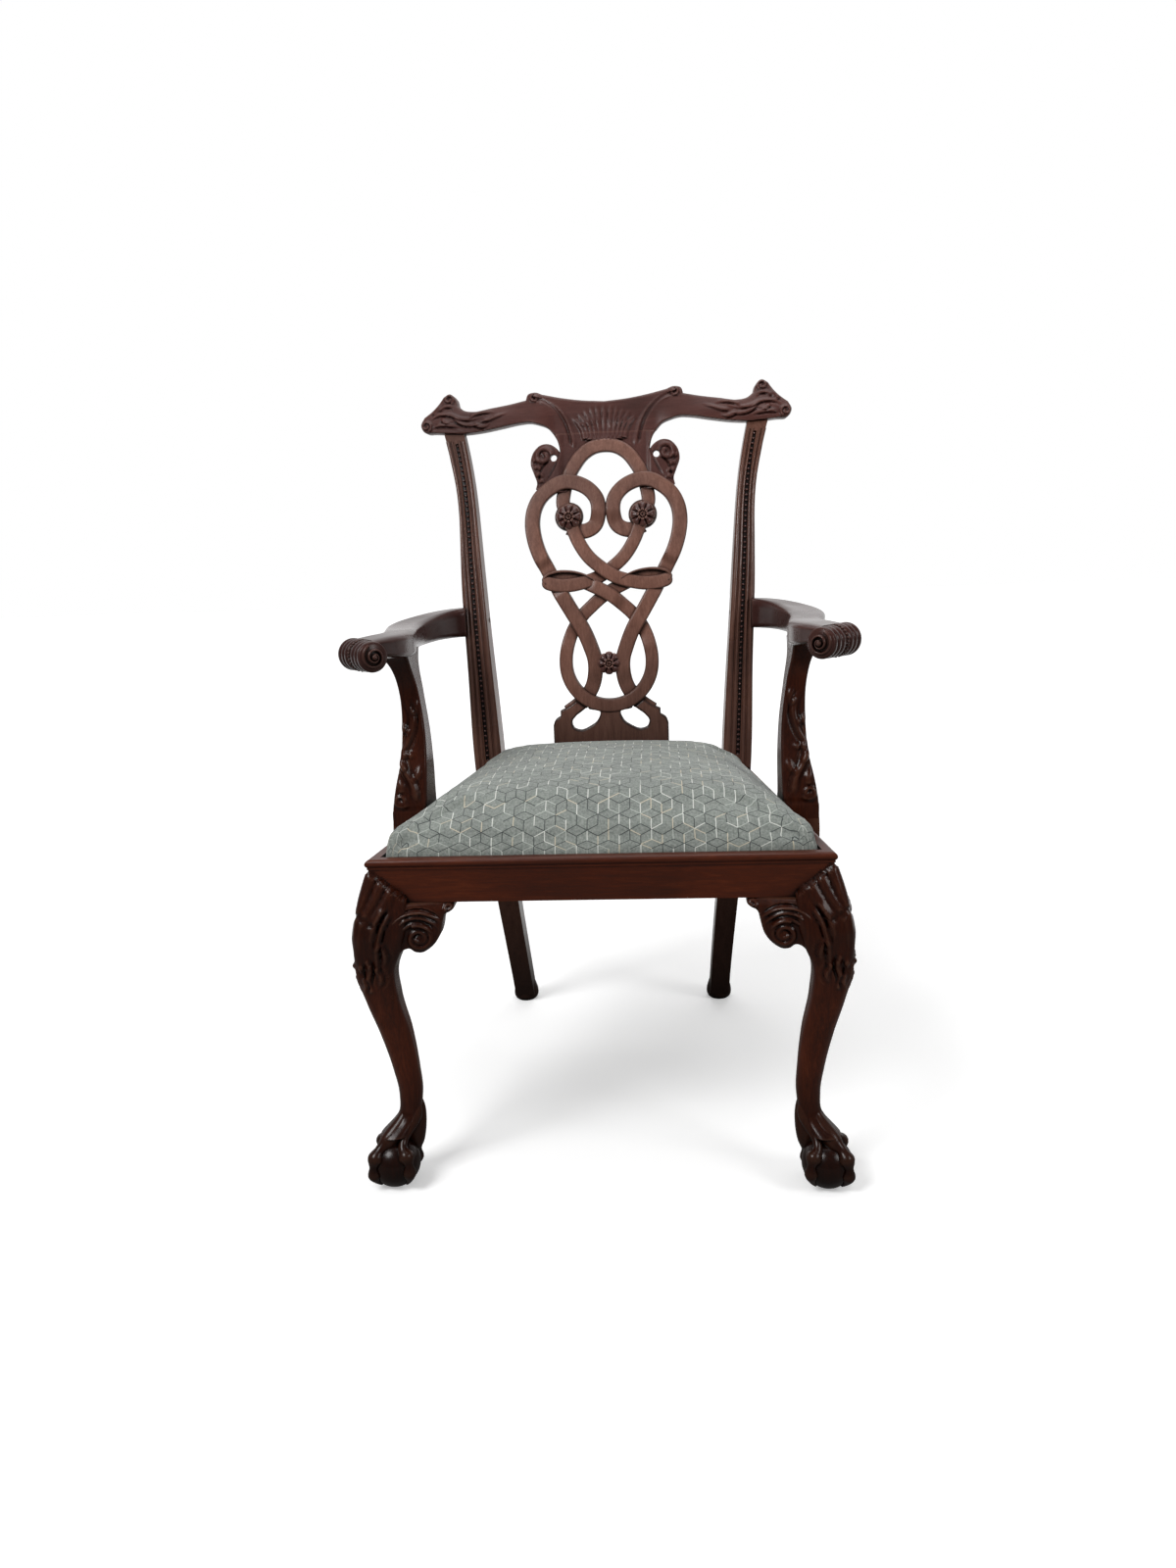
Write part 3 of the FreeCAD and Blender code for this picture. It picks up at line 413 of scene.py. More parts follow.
# the legs are painted darker towards the foot and over the knee: painted shade
legWood = woodMaterial("legWood", "deep", grainUp, gloss=0.18, edgeLightAndWear=0.35, shine=0.20,
                       shadeByHeight=[(0.03, 0.20), (0.09, 0.36), (0.15, 0.95), (0.24, 0.95), (0.31, 0.42), (0.42, 0.55)])
# the height ramp darkens the whole arm to about two thirds
armWood = woodMaterial("armWood", "crest", grainBack, gloss=0.18, edgeLightAndWear=0.2, shine=0.17, shadeByHeight=[(0.5, 0.6), (0.7, 0.66)])
# strong edge colour: rubbed wear with painted highlight on the petal edges
rosetteWood = woodMaterial("rosetteWood", "crest", grainUp, gloss=0.20, edgeLightAndWear=0.7, shine=0.30)
railWood = woodMaterial("railWood", "rail", grainAcross, gloss=0.34)
sideWood = woodMaterial("sideWood", "rail", grainBack, gloss=0.34)
# the balls are painted near-black where they meet the floor: painted shade
ballWood = woodMaterial("ballWood", "deep", grainUp, gloss=0.16, edgeLightAndWear=0.3, shadeByHeight=[(0.01, 0.12), (0.07, 0.25)])
# painted shade: near-black colour for the groove behind the post beads
channelShadeWood = woodMaterial("channelShadeWood", "creaseShade", grainUp, gloss=0.45)
beechWood = woodMaterial("beechWood", "beech", grainBack, gloss=0.5)
print("materials: woods")

# Splat: the straps of the back, each at its own height where they cross
splatSet = dict(heart=23.0, ribbon=20.5, arch=21.5, thick=14.0, under=5.6, step=1.6, eye=22.0,
                bowl=(598.0, 66.5), tip=10.5)
eyeX, eyeZ = 57, 819   # where the straps curl in, under the upper rosettes
heartLine = [(58, 803), (45, 797.5), (31, 797), (18, 804), (11.5, 822), (14, 845), (26, 860), (42, 869), (57, 872.5),
             (70, 871), (86, 863), (101, 850), (111, 831), (114, 811), (111.5, 789), (104.5, 766), (92, 741),
             (73, 706), (53, 672), (39, 649), (28, 623), (22, 603), (22, 580), (27, 561), (40, 542), (60, 526), (66, 522)]
archLine = [(58, 820), (66, 838), (64, 858), (57, 880), (47, 898), (35, 913), (17, 924), (0, 926.5)]
ribbonLine = [(-57, 819), (-51, 800), (-42.5, 780), (-27, 757), (-8, 740.5), (12, 727.5), (35, 720), (58, 716),
              (76, 716.5), (90, 720), (99, 725.5)]
foldRim = [(22, 724), (36, 731.5), (60, 737), (82, 736), (94, 731.5), (98, 725), (94, 719)]
foldLens = [(24, 724), (38, 731), (60, 736), (82, 735), (95, 730), (90, 720), (60, 716), (32, 720), (24, 724)]
crossLine = [(-86, 722), (-50, 724), (-20, 713), (7, 698), (24, 684), (37, 672), (52, 652), (62, 628), (66.5, 600)]


def makeSplat(s):
    u, st = s["under"], s["step"]
    shells = []
    for sign in (1, -1):
        heart = smoothLine(heartLine, st)
        level = levelsAlong(heart, [((58, 803), u), ((31, 797), u), ((16, 806), u), ((12, 830), 0), ((101, 850), 0),
                                    ((100, 757), 0), ((93, 743), 6.0), ((80, 719), 6.0), ((70, 700), 0), ((30, 628), 0),
                                    ((22, 590), 0.6), ((26, 563), u), ((66, 522), u)])
        shells.append(band(heart * (sign, 1), s["heart"], level, s["thick"]))
    arch = smoothLine(archLine + mirrorX(archLine[-2::-1]).tolist(), st)
    level = levelsAlong(arch, [((58, 820), u), ((62, 865), u), ((52, 889), 0.4), ((0, 926.5), 0.0), ((-52, 889), 0.4),
                               ((-62, 865), u), ((-58, 820), u)])
    shells.append(band(arch, s["arch"], level, s["thick"]))
    over = smoothLine(ribbonLine, st)
    left = (len(over) - 1 - np.arange(len(over))) * st   # the fold ends in a round tip
    foldWidth = s["ribbon"] * np.sqrt(np.clip(1 - np.clip(1 - left / s["tip"], 0, 0.985)**2, 0, 1))
    level = levelsAlong(over, [((-57, 819), 1.0), ((-45, 786), 0.5), ((-8, 740), -0.3), ((12, 727), -0.3),
                               ((76, 716), -0.6)])
    shells.append(band(over, foldWidth, level, s["thick"]))
    level = levelsAlong(over, [((-57, 819), 1.0), ((-45, 786), 0.8), ((-24, 754), 1.5), ((-8, 740), u), ((8, 730), u),
                               ((30, 721), 0.6), ((76, 716), -0.6)])
    shells.append(band(over * (-1, 1), foldWidth, level, s["thick"]))
    angle = np.radians(np.linspace(-8, -172, 40))
    middle, radius = s["bowl"]
    bowl = np.stack([radius * np.cos(angle), middle + radius * np.sin(angle)], 1)
    ring = smoothLine(np.vstack([crossLine, bowl, mirrorX(crossLine[::-1])]), st)
    level = levelsAlong(ring, [((-86, 722), u), ((-40, 721), u), ((-16, 711), 0.2), ((10, 696), 0.2), ((28, 680), u),
                               ((56, 644), u), ((65, 618), 1.0), ((50, 552), 0), ((0, 531.5), 0), ((-50, 552), 0),
                               ((-65, 618), 1.0), ((-56, 644), u), ((86, 722), u)])
    shells.append(band(ring, s["ribbon"], level, s["thick"]))
    for sign in (1, -1):   # the ribbon's fold: a rim round a sunken lens
        rim = smoothLine(np.array(foldRim) * (sign, 1), st)
        shells.append(band(rim, np.linspace(2.4, 5.0, len(rim)), np.full(len(rim), -0.5), s["thick"],
                           crown=0.8, edge=1.2, across=9))
        lens = smoothLine(np.array(foldLens) * (sign, 1), 2)
        shells.append(plate([lens[:-1]], 1.8, lambda x, z, d: 4.6 + 0 * d, s["thick"]))
    for sign in (1, -1):
        eye = ringLine(sign * eyeX, eyeZ, s["eye"], 60)
        shells.append(plate([eye], 1.6, lambda x, z, d: 3.2 + eased(d, 4.0), s["thick"]))
    return shells


def fanCarving(x, z):   # leaf fan and creases that run from the crest on to the splat's shoulders
    ax = np.abs(x)
    h = np.zeros(x.shape)
    crease = [(112, 1004), (98, 1000), (79, 988), (64, 968), (56, 946), (52, 925)]
    h += stroke(ax, z, crease, 3.6, 2.4, ends=(0.05, 0.1))
    h -= stroke(ax, z, np.array(crease) + (-5, -3), 4.6, 1.5, ends=(0.1, 0.1))
    for k in range(-5, 6):
        foot = np.array([k * 6.0, 931 + 0.2 * k * k])
        tip = np.array([k * 10.0 + np.sign(k) * 2.0, 993 - 0.80 * k * k])
        bend = foot * 0.5 + tip * 0.5 - (k * 1.2, 0)
        h -= stroke(x, z, [foot, bend, tip], 5.6, 3.2, ends=(0.03, 0.5))
        if k < 5:
            mid = k + 0.5
            cut = [(mid * 6.0, 931), (mid * 7.4, 956), (mid * 10.4, 980 - k * k * 0.7)]
            h += stroke(x, z, cut, 2.0, 1.5, ends=(0.25, 0.5))
    return h


def shoulderFront(x, z, d):   # plain field under the crest, with leaf scrolls at the sides
    ax = np.abs(x)
    leaf = ease((ax - 64) / 8)
    h = 4.0 - 2.6 * leaf + eased(np.where((z > 935) & (ax < 74), 9, d), 2.2)
    h += fanCarving(x, z)
    h -= stroke(ax, z, spiralLine(96, 913, 15, 3, 1.5, 215, -1), 4.6, 3.4, ends=(0.05, 0.1))
    for a, b in (((113, 906), (100, 896)), ((111, 895), (98, 888)), ((108, 884), (95, 880)), ((105, 874), (93, 872))):
        h -= stroke(ax, z, [a, ((a[0] + b[0]) / 2, a[1] + 1.5), b], 4.2, 2.8, ends=(0.1, 0.5))
    h += stroke(ax, z, [(106, 862), (102, 880), (97, 896), (88, 903), (82, 902)], 2.2, 2.2)
    h += stroke(ax, z, [(73, 936), (71, 920), (77, 899), (85, 884), (93, 872)], 2.0, 1.8)
    return h


def makeShoulder(s):
    half = np.vstack([smoothLine([(80, 946), (75, 938), (71, 925), (70, 918)], 2)[:-1],
                      smoothLine([(70, 918), (76, 925), (88, 931.5), (100, 930.5), (112, 919), (116, 903), (110, 884),
                                  (106, 872), (108, 862)], 2)[:-1],
                      smoothLine([(108, 862), (98, 860), (60, 855)], 2)[:-1],
                      smoothLine([(60, 855), (40, 905), (0, 922)], 2)])
    whole = np.vstack([half, mirrorX(half[-2::-1])])
    holes = [ringLine(sign * 80, 909.5, 5, 24) for sign in (1, -1)]
    return plate([whole] + holes, 1.25, shoulderFront, s["thick"])


def makeBase(s):
    half = np.vstack([smoothLine([(0, 525), (34, 527), (52, 540)], 2)[:-1],
                      smoothLine([(52, 540), (65, 531), (78, 525)], 2), [(78, 516.5)],
                      smoothLine([(78, 516.5), (86, 511.5), (90, 502)], 2)[1:], [(90, 432), (0, 432)]])
    whole = np.vstack([half, mirrorX(half[-2:0:-1])])
    kidney = smoothLine([(37, 529), (16, 521.5), (21, 508), (33, 499), (46, 494), (57, 497.5), (60, 507), (53, 517),
                         (37, 529)], 2)[:-1]
    return plate([whole, kidney, mirrorX(kidney)], 1.5, lambda x, z, d: 2.0 + eased(d, 2.0), s["thick"])


splatShells = makeSplat(splatSet) + [makeBase(splatSet)]
splat = buildPiece("carvedSplat", *joinShells(splatShells), "chair_frame", splatWood, ["splat"])
buildPiece("carvedShoulder", *makeShoulder(splatSet), "chair_frame", shoulderWood)
print("splat:", len(splat.data.vertices), "points")

# Rosettes: two rows of petals round a button
rosetteSet = dict(radius=19.0, petals=8, outer=5.4, inner=3.0, button=4.5, buttonShare=0.24,
                  spots=((-eyeX, eyeZ, 1), (eyeX, eyeZ, 1), (0, 597, 0.92)))


def makeRosette(x, z, scale, s):
    rows, cols = 26, 112
    r = np.linspace(0, 1, rows)[:, None]
    a = np.linspace(0, 2 * math.pi, cols, endpoint=False)[None]
    outer = np.abs(np.cos(s["petals"] / 2 * a))
    inner = np.abs(np.sin(s["petals"] / 2 * a))
    reach = s["radius"] * scale * (0.87 + 0.13 * outer**0.5)
    petal = s["outer"] * np.maximum(0, np.sin(r * math.pi))**0.6 * (0.30 + 0.70 * outer**0.6)
    ring = s["inner"] * np.exp(-((r - 0.36) / 0.13)**2) * (0.35 + 0.65 * inner**0.7)
    button = s["button"] * np.sqrt(np.maximum(0, 1 - (r / s["buttonShare"])**2))
    high = (0.5 + petal + ring + button) * scale
    px, pz = x + reach * r * np.cos(a), z + reach * r * np.sin(a)
    top = backSurface(px, pz, 1.2 - high)
    low = backSurface(px[-1:], pz[-1:], np.full((1, cols), 9.0))
    return tube(np.concatenate([top, low], 0))


rosettes = [makeRosette(*spot, rosetteSet) for spot in rosetteSet["spots"]]
buildPiece("splatRosettesCarved", *joinShells(rosettes), "chair_frame", rosetteWood, ["splat_rosettes"])
print("rosettes")

# Crest rail
crestSet = dict(proud=3.0, thick=24.0, pitch=1.3)
crestHalf = [[(0, 995), (36, 998), (67, 1003), (98, 1010)], [(98, 1010), (109, 1014), (121, 1011), (124, 1002)],
             [(124, 1002), (150, 996.5), (181, 991.5), (206, 987.5), (222, 990), (233, 998)],
             [(233, 998), (237, 1010), (247, 1018), (256, 1013)], [(256, 1013), (261, 1005), (275, 989), (285, 981)],
             [(285, 981), (290, 969), (283, 957), (270, 956)],
             [(270, 956), (220, 953), (196, 955), (165, 960), (134, 965.5), (119, 966.5), (104, 963), (90, 957),
              (80, 946)], [(80, 946), (0, 946)]]


def crestFront(x, z, d):
    ax = np.abs(x)
    middle = ease((112 - ax) / 36)   # falls back to the splat between the creases
    h = -crestSet["proud"] + eased(np.where((z < 962) & (ax < 78), 9, d), 3.2)
    h += 7.0 * middle * ease((1000 - z) / 54)
    h -= 2.2 * ease(1 - np.abs(z - 972) / 30) * ease((ax - 120) / 40)   # swelled shoulders
    h += fanCarving(x, z)
    h -= stroke(ax, z, spiralLine(110, 1005, 7, 2, 1.2, 90, -1), 2.6, 2.6, ends=(0.05, 0.05))
    for ring in ((247, 1009, 8.5), (281, 967, 9)):   # scrolled ears
        h -= stroke(ax, z, spiralLine(*ring, 2, 1.4, 250, -1), 2.8, 2.6, ends=(0.05, 0.1))
    sprays = [[(276, 976), (262, 984), (244, 984), (226, 977), (205, 976), (184, 981)],
              [(262, 990), (250, 998), (240, 996), (236, 988)], [(270, 966), (255, 968), (236, 966), (222, 962)],
              [(240, 982), (226, 970), (208, 966), (190, 970)], [(214, 976), (200, 984), (186, 986), (170, 984)],
              [(196, 972), (180, 974), (164, 980), (150, 984)], [(206, 968), (192, 963), (178, 966)],
              [(272, 984), (266, 992), (258, 1004)], [(258, 978), (248, 972), (238, 975)]]
    for line in sprays:
        h -= stroke(ax, z, line, 4.2, 2.5, ends=(0.2, 0.5))
        h += stroke(ax, z, np.asarray(line) + (1.5, -3.6), 2.0, 1.3, ends=(0.2, 0.5))
    return h


half = np.vstack([smoothLine(run, 2.2)[:-1] for run in crestHalf] + [[(0, 946)]])
outline = np.vstack([half, mirrorX(half[-2:0:-1])])
crest = buildPiece("carvedCrest", *plate([outline], crestSet["pitch"], crestFront, crestSet["thick"]),
                   "chair_frame", crestWood, ["crest_rail"])
print("crest:", len(crest.data.vertices), "points")

# Mouldings and beads on the back posts: reeds beside the sunken bead line, given as a share of the post's width
postSet = dict(reeds=((0.11, 8.6), (0.31, 6.0), (0.66, 6.4), (0.87, 9.4)), proud=2.2, width=43.0, low=430.0, high=946.0,
               pitch=7.8, bead=2.3, channel=7.6,
               beadPath=[(196, 450), (199.8, 560), (209.3, 740), (222, 890), (231, 934)])
postOuter = [(216, 428), (217, 450), (219.5, 584), (225.5, 740), (234.5, 880), (241, 908), (252, 948)]
postInner = [(172.5, 428), (174, 450), (181.5, 584), (193, 740), (206.5, 880), (211.5, 908), (219.5, 948)]


def makePostTrim(s, sign):
    outer, inner = smoothLine(postOuter, 4), smoothLine(postInner, 4)
    z = np.arange(s["low"], s["high"], 4.0)
    xo, xi = np.interp(z, outer[:, 1], outer[:, 0]), np.interp(z, inner[:, 1], inner[:, 0])
    reeds = []
    for share, wide in s["reeds"]:
        line = np.stack([sign * (xo + (xi - xo) * share), z], 1)
        reeds.append(band(line, wide * (xo - xi) / s["width"], np.full(len(z), 0.3), 3.0,
                          crown=s["proud"], edge=0.5, across=9))
    groove = smoothLine(s["beadPath"], 4.0) * (sign, 1)
    channel = band(groove, s["channel"], np.full(len(groove), 2.0), 3.6, crown=0, edge=0.2, across=5)
    beads = [blob(backSurface(sign * x, height, 1.4), (s["bead"], s["bead"], s["bead"] * 0.8))
             for x, height in smoothLine(s["beadPath"], s["pitch"])]
    return reeds, channel, beads


for side, sign in (("right", 1), ("left", -1)):
    reeds, channel, beads = makePostTrim(postSet, sign)
    buildPiece(side + "PostReeds", *joinShells(reeds), "chair_frame", reedWood)
    # the groove behind the beads is coloured near-black: painted shade
    buildPiece(side + "PostChannel", *channel, "chair_frame", channelShadeWood)
    buildPiece(side + "PostBeads", *joinShells(beads), "chair_frame", beadWood)
print("post mouldings")


# Legs and arm supports: rounded columns whose faces are carved
def roundedRing(x0, x1, y0, y1, r, corner=9, straight=16):
    pts = []
    cx, cy = (x0 + x1) / 2, (y0 + y1) / 2
    hx, hy = (x1 - x0) / 2 - r, (y1 - y0) / 2 - r
    for sx, sy, turn in ((1, 1, 0), (-1, 1, 90), (-1, -1, 180), (1, -1, 270)):
        a = np.radians(turn + np.linspace(0, 90, corner))
        pts.append(np.stack([cx + sx * hx + r * np.cos(a), cy + sy * hy + r * np.sin(a)], 1))
    ring = []
    for k in range(4):
        ring.append(pts[k])
        a, b = pts[k][-1], pts[(k + 1) % 4][0]
        ring.append(a + (b - a) * np.linspace(0, 1, straight + 2)[1:-1, None])
    return np.vstack(ring)


def column(levels):   # rows of z, x0, x1, y0, y1, radius
    loops = [roundedRing(*row[1:]) for row in levels]
    rings = np.stack([np.column_stack([loop, np.full(len(loop), row[0])]) for loop, row in zip(loops, levels)])
    ahead = np.roll(rings, -1, 1) - np.roll(rings, 1, 1)
    normal = np.stack([ahead[..., 1], -ahead[..., 0], 0 * ahead[..., 0]], -1)
    normal /= np.linalg.norm(normal, axis=-1)[..., None]
    return rings, normal


# Leg sections are height, outer edge, inner edge and corner radius
legSet = dict(sections=[(413, 271, 226.5, 3), (385, 280, 226.5, 6), (345, 290, 227, 9), (315, 293, 236.5, 11),
                        (290, 291.5, 246, 12), (255, 286.5, 245.5, 12), (200, 274.5, 237.5, 13), (150, 265.5, 233.5, 13),
                        (112, 261.5, 232.5, 13), (90, 263, 236, 12), (68, 284, 248, 16)],
              ball=(268.0, 2.5, 29.0), radius=31.0, ankle=246.5, top=412.5)
fluteTops = [(272, 412), (260, 404), (248, 395), (236, 385)]
fluteFeet = [(290, 366), (281, 361), (272, 356), (263, 350)]


def kneeCarving(x, z):
    h = np.zeros(x.shape)
    tops, feet = np.array(fluteTops, float), np.array(fluteFeet, float)
    for k in range(3):
        a, b = (tops[k] + tops[k + 1]) / 2, (feet[k] + feet[k + 1]) / 2
        h += stroke(x, z, [a, (a + b) / 2 + (-1, -1), b], 7.2, 2.6, ends=(0.02, 0.06), ridge=0.8)
    for k in (1, 2):   # cuts between the flutes
        h -= stroke(x, z, [tops[k], (tops[k] + feet[k]) / 2 + (-1, -1), feet[k]], 2.4, 1.6, ends=(0.02, 0.06))
    lows = [(292, 318), (283, 314), (276, 318)]
    for k in range(3):
        a, b = (feet[k] + feet[k + 1]) / 2 + (1, -4), np.array(lows[k], float)
        h += stroke(x, z, [a, (a + b) / 2 + (1.5, 0), b], 5.2, 2.2, ends=(0.03, 0.55), ridge=0.8)
    leaves = [[(250, 372), (262, 352), (268, 330), (270, 306)],
              [(244, 366), (256, 344), (262, 320), (264, 296), (270, 276)],
              [(276, 312), (272, 296), (276, 280), (272, 264)],
              [(282, 306), (284, 290), (280, 276), (282, 262), (276, 250)], [(266, 300), (260, 284), (266, 270)],
              [(290, 300), (288, 284), (284, 268)], [(258, 330), (252, 312), (256, 298)]]
    for line in leaves:
        h += stroke(x, z, line, 4.0, 2.8, ends=(0.12, 0.5))
        h -= stroke(x, z, np.asarray(line) + (-3.8, -1.0), 2.4, 2.0, ends=(0.12, 0.5))
    for spot in ((262, 322), (271, 300), (279, 284), (274, 268), (281, 298)):
        h += 2.0 * np.clip(1 - np.hypot(x - spot[0], z - spot[1]) / 4.2, 0, 1)
    return h


def makeTalon(turn, angles, s):   # one claw with knuckles and a nail
    way = np.array([math.cos(math.radians(turn)), math.sin(math.radians(turn)), 0])
    ball = np.array(s["ball"])
    path = [np.array([s["ankle"], frontHalf - s["ankle"], z]) + way * out for z, out in ((108.0, 6), (92.0, 9))]
    sizes = [4.0, 7.0]
    bulge = (10.6, 6.8, 10.2, 5.8, 8.4, 4.4, 1.6)
    for k, angle in enumerate(angles):
        fall = math.radians(angle)
        path.append(ball + (way * math.sin(fall) + np.array([0, 0, math.cos(fall)])) * (s["radius"] + 0.6))
        sizes.append(bulge[k + len(bulge) - len(angles)])
    line = smoothLine(np.column_stack([path, sizes]), 2.0)
    along = np.gradient(line[:, :3], axis=0)
    along /= np.linalg.norm(along, axis=1)[:, None]
    side = np.cross(along, np.cross(way, (0, 0, 1.0))[None])
    side /= np.linalg.norm(side, axis=1)[:, None]
    other = np.cross(along, side)
    a = np.linspace(0, 2 * math.pi, 16, endpoint=False)
    spokes = np.cos(a)[None, :, None] * side[:, None] + np.sin(a)[None, :, None] * other[:, None]
    return tube(line[:, None, :3] + line[:, None, 3:] * spokes)


# Each claw: its heading, and how far down the ball its knuckles come
talonSet = [(315, (20, 40, 62, 82, 100, 118, 136)), (45, (40, 58, 76, 94, 114, 134)), (225, (40, 58, 76, 94, 114, 134)),
            (135, (70, 86, 102, 120, 136))]


def makeLeg(s):
    z, outer, inner, radius = smoothLine(s["sections"], 2.2).T
    levels = np.column_stack([z, inner, outer, frontHalf - outer, frontHalf - inner, radius])
    rings, normal = column(levels)
    x, y, zz = rings[..., 0], rings[..., 1], rings[..., 2]
    onFront, onSide = np.clip(-normal[..., 1], 0, 1), np.clip(normal[..., 0], 0, 1)
    total = np.maximum(1e-6, onFront**2 + onSide**2)
    h = (kneeCarving(x, zz) * onFront**2 + kneeCarving(frontHalf - y, zz) * onSide**2) / total
    h *= ease((onFront + onSide) * 2) * ease((s["top"] - zz) / 3)
    rings = rings + normal * h[..., None]
    (topX, topZ), (lastX, lastZ) = fluteTops[0], fluteTops[-1]
    slope = (topZ - lastZ) / (topX - lastX)   # above the flutes the corner is plain and level with the rails
    plain = zz > lastZ + slope * (x - lastX)
    plainSide = zz > lastZ + slope * (frontHalf - y - lastX)
    level = np.where(plain & (onFront > 0.7), np.maximum(rings[..., 1], -0.4), rings[..., 1])
    rings[..., 1] = np.where(plain & (y < 12) & (x < 268), -0.05, level)
    rings[..., 0] = np.where(plainSide & (onSide > 0.7), np.minimum(rings[..., 0], frontHalf + 0.4), rings[..., 0])
    claws = [makeTalon(turn, angles, s) for turn, angles in talonSet]
    return tube(rings), claws


def makeBall(s):   # stands flat on the floor
    lowest = math.pi - math.acos(s["ball"][2] / s["radius"])
    return roundShell(s["ball"], s["radius"], np.linspace(0.02, 1, 28) * lowest, 48)


shaft, claws = makeLeg(legSet)
ball = makeBall(legSet)
cornerSlope, cornerLow = 0.94, 380
for side, turn in sides:
    leg = buildPiece(side + "LegCarved", *joinShells([turn(shaft)] + [turn(c) for c in claws]), "chair_frame", legWood,
                     [side + "_front_leg"], sharpAngle=60)
    leg.data.materials.append(railWood)
    for face in leg.data.polygons:   # the corner above the leaf is one plain face with the rail
        x, y, z = abs(face.center.x) / mm, (face.center.y - railFace) / mm, face.center.z / mm
        across = x if face.normal.y < -0.7 else frontHalf - y
        if z - fluteTops[-1][1] > cornerSlope * (across - fluteTops[-1][0]) + 1 and z > cornerLow:
            face.material_index = 1
    buildPiece(side + "FootBall", *turn(ball), "chair_frame", ballWood)
print("front legs")

# Knee blocks: scrolled brackets with a leaf folded over the top
kneeSet = dict(eye=(213.0, 331.0), outer=16.0, pitch=1.1, thick=21.0)
kneeSwell = [(165, -2), (195, -7), (225, -13), (246, -16), (262, -7)]   # the front across the block: x, then depth
kneeOutline = [(171.5, 372), (171, 366), (176, 361), (182, 358), (186, 349), (188, 339), (191, 330), (196, 322.5),
               (204, 315.5), (212, 312), (220, 313.5), (226, 318), (232, 317), (237, 313), (246, 302), (262, 296)]


def kneeFront(x, z, d):
    ex, ez = kneeSet["eye"]
    h = np.interp(x, *np.transpose(kneeSwell)) + eased(np.where(x > 247, 9, d), 3.0) + 4.5 * ease((z - 362) / 10)
    h -= stroke(x, z, spiralLine(ex, ez, kneeSet["outer"], 3, 2.0, 60, 1), 4.0, 3.4, ends=(0.02, 0.05))
    h -= 3.0 * np.clip(1 - np.hypot(x - ex, z - ez) / 5.0, 0, 1)**0.6
    for k in range(3):   # pleats of the leaf that wrap over the scroll
        r = 21 + 7.5 * k
        a = np.radians(np.linspace(15, 172 - 10 * k, 11))
        line = np.stack([ex + 3 + r * np.cos(a), ez - 2 + r * np.sin(a) * (1 - 0.04 * k)], 1)
        h -= stroke(x, z, line, 4.4, 3.4, ends=(0.25, 0.3))
        h += stroke(x, z, line + (0, 3.6), 2.0, 2.6, ends=(0.25, 0.3))
    for k in range(4):   # lobes of the leaf beside the leg
        low = np.array([250 - 5.0 * k, 316 + 11.0 * k])
        h -= stroke(x, z, [low, low + (-5, 6), low + (-13, 8)], 3.2, 2.4, ends=(0.2, 0.5))
    h -= stroke(x, z, spiralLine(177, 366, 5, 1.5, 1.1, 300, 1), 2.4, 2.0, ends=(0.1, 0.1))
    return h


kneeLoop = np.vstack([smoothLine(kneeOutline, 1.6), [(262, 372)]])
kneeVerts, kneeFaces = plate([kneeLoop], kneeSet["pitch"], kneeFront, kneeSet["thick"],
                             lambda x, z, off: np.stack([x, off, z], -1))
sideVerts = np.stack([frontHalf - kneeVerts[:, 1], frontHalf - kneeVerts[:, 0], kneeVerts[:, 2]], 1)
turnX, turnY = sideVerts[:, 0] - frontHalf, sideVerts[:, 1].copy()
sideVerts[:, 0] = frontHalf + turnX * math.cos(sideAngle) - turnY * math.sin(sideAngle)
sideVerts[:, 1] = turnX * math.sin(sideAngle) + turnY * math.cos(sideAngle)
for side, turn in sides:
    for name, verts in (("Front", kneeVerts), ("Side", sideVerts)):
        buildPiece(side + name + "Knee", *turn((verts, kneeFaces)), "chair_frame", legWood,
                   [side + "_" + name.lower() + "_knee_block"], sharpAngle=60)
print("knee blocks")

# Arms: a serpentine rail that ends in a rolled, reeded knuckle; sections are x, y, z, width, thickness and heading
armSet = dict(sections=[(218, 470, 666, 36, 44, 158), (238, 458, 665.5, 40, 43, 140), (262, 423, 664, 46, 40, 118),
                        (277, 377, 662, 50, 38, 99), (281.5, 330, 660.5, 50, 36, 88), (275, 270, 660, 46, 34, 79),
                        (265, 215, 659, 44, 34, 83), (261, 165, 660, 50, 32, 101), (267, 128, 662, 58, 28, 122),
                        (280, 98, 664.5, 62, 20, 141)],
              roll=(282.0, 95.5, 655.0), radius=19.0, length=64.0, turn=-38.4, dish=2.0, joint=218.5, beads=26)


def makeArm(s):
    p = smoothLine(s["sections"], 3.0)
    ring = roundedRing(-0.5, 0.5, -0.5, 0.5, 0.24)
    u, v = ring[:, 0] * 2, ring[:, 1] * 2
    across = np.radians(p[:, 5] - 90)
    w, t = p[:, 3:4] / 2 * u[None], p[:, 4:5] / 2 * v[None]
    dished = ease((p[:, 1] - 190) / 60) * ease((440 - p[:, 1]) / 60)
    t = t - s["dish"] * dished[:, None] * (v[None] > 0.3) * (1 - u[None]**2)
    x = p[:, 0:1] + w * np.cos(across)[:, None]
    y = p[:, 1:2] + w * np.sin(across)[:, None]
    rings = np.stack([x, y, p[:, 2:3] + t], -1)
    rings[..., 0] = np.maximum(rings[..., 0], s["joint"])   # stops on the post's side
    return tube(rings)


def rollPoints(s, local):   # from the roll's own axes: along it, across it and up
    a = math.radians(s["turn"])
    axis, across = np.array([-math.sin(a), math.cos(a), 0]), np.array([math.cos(a), math.sin(a), 0])
    up = np.array([0, 0, 1])
    return np.array(s["roll"]) + local[..., :1] * axis + local[..., 1:2] * across + local[..., 2:3] * up


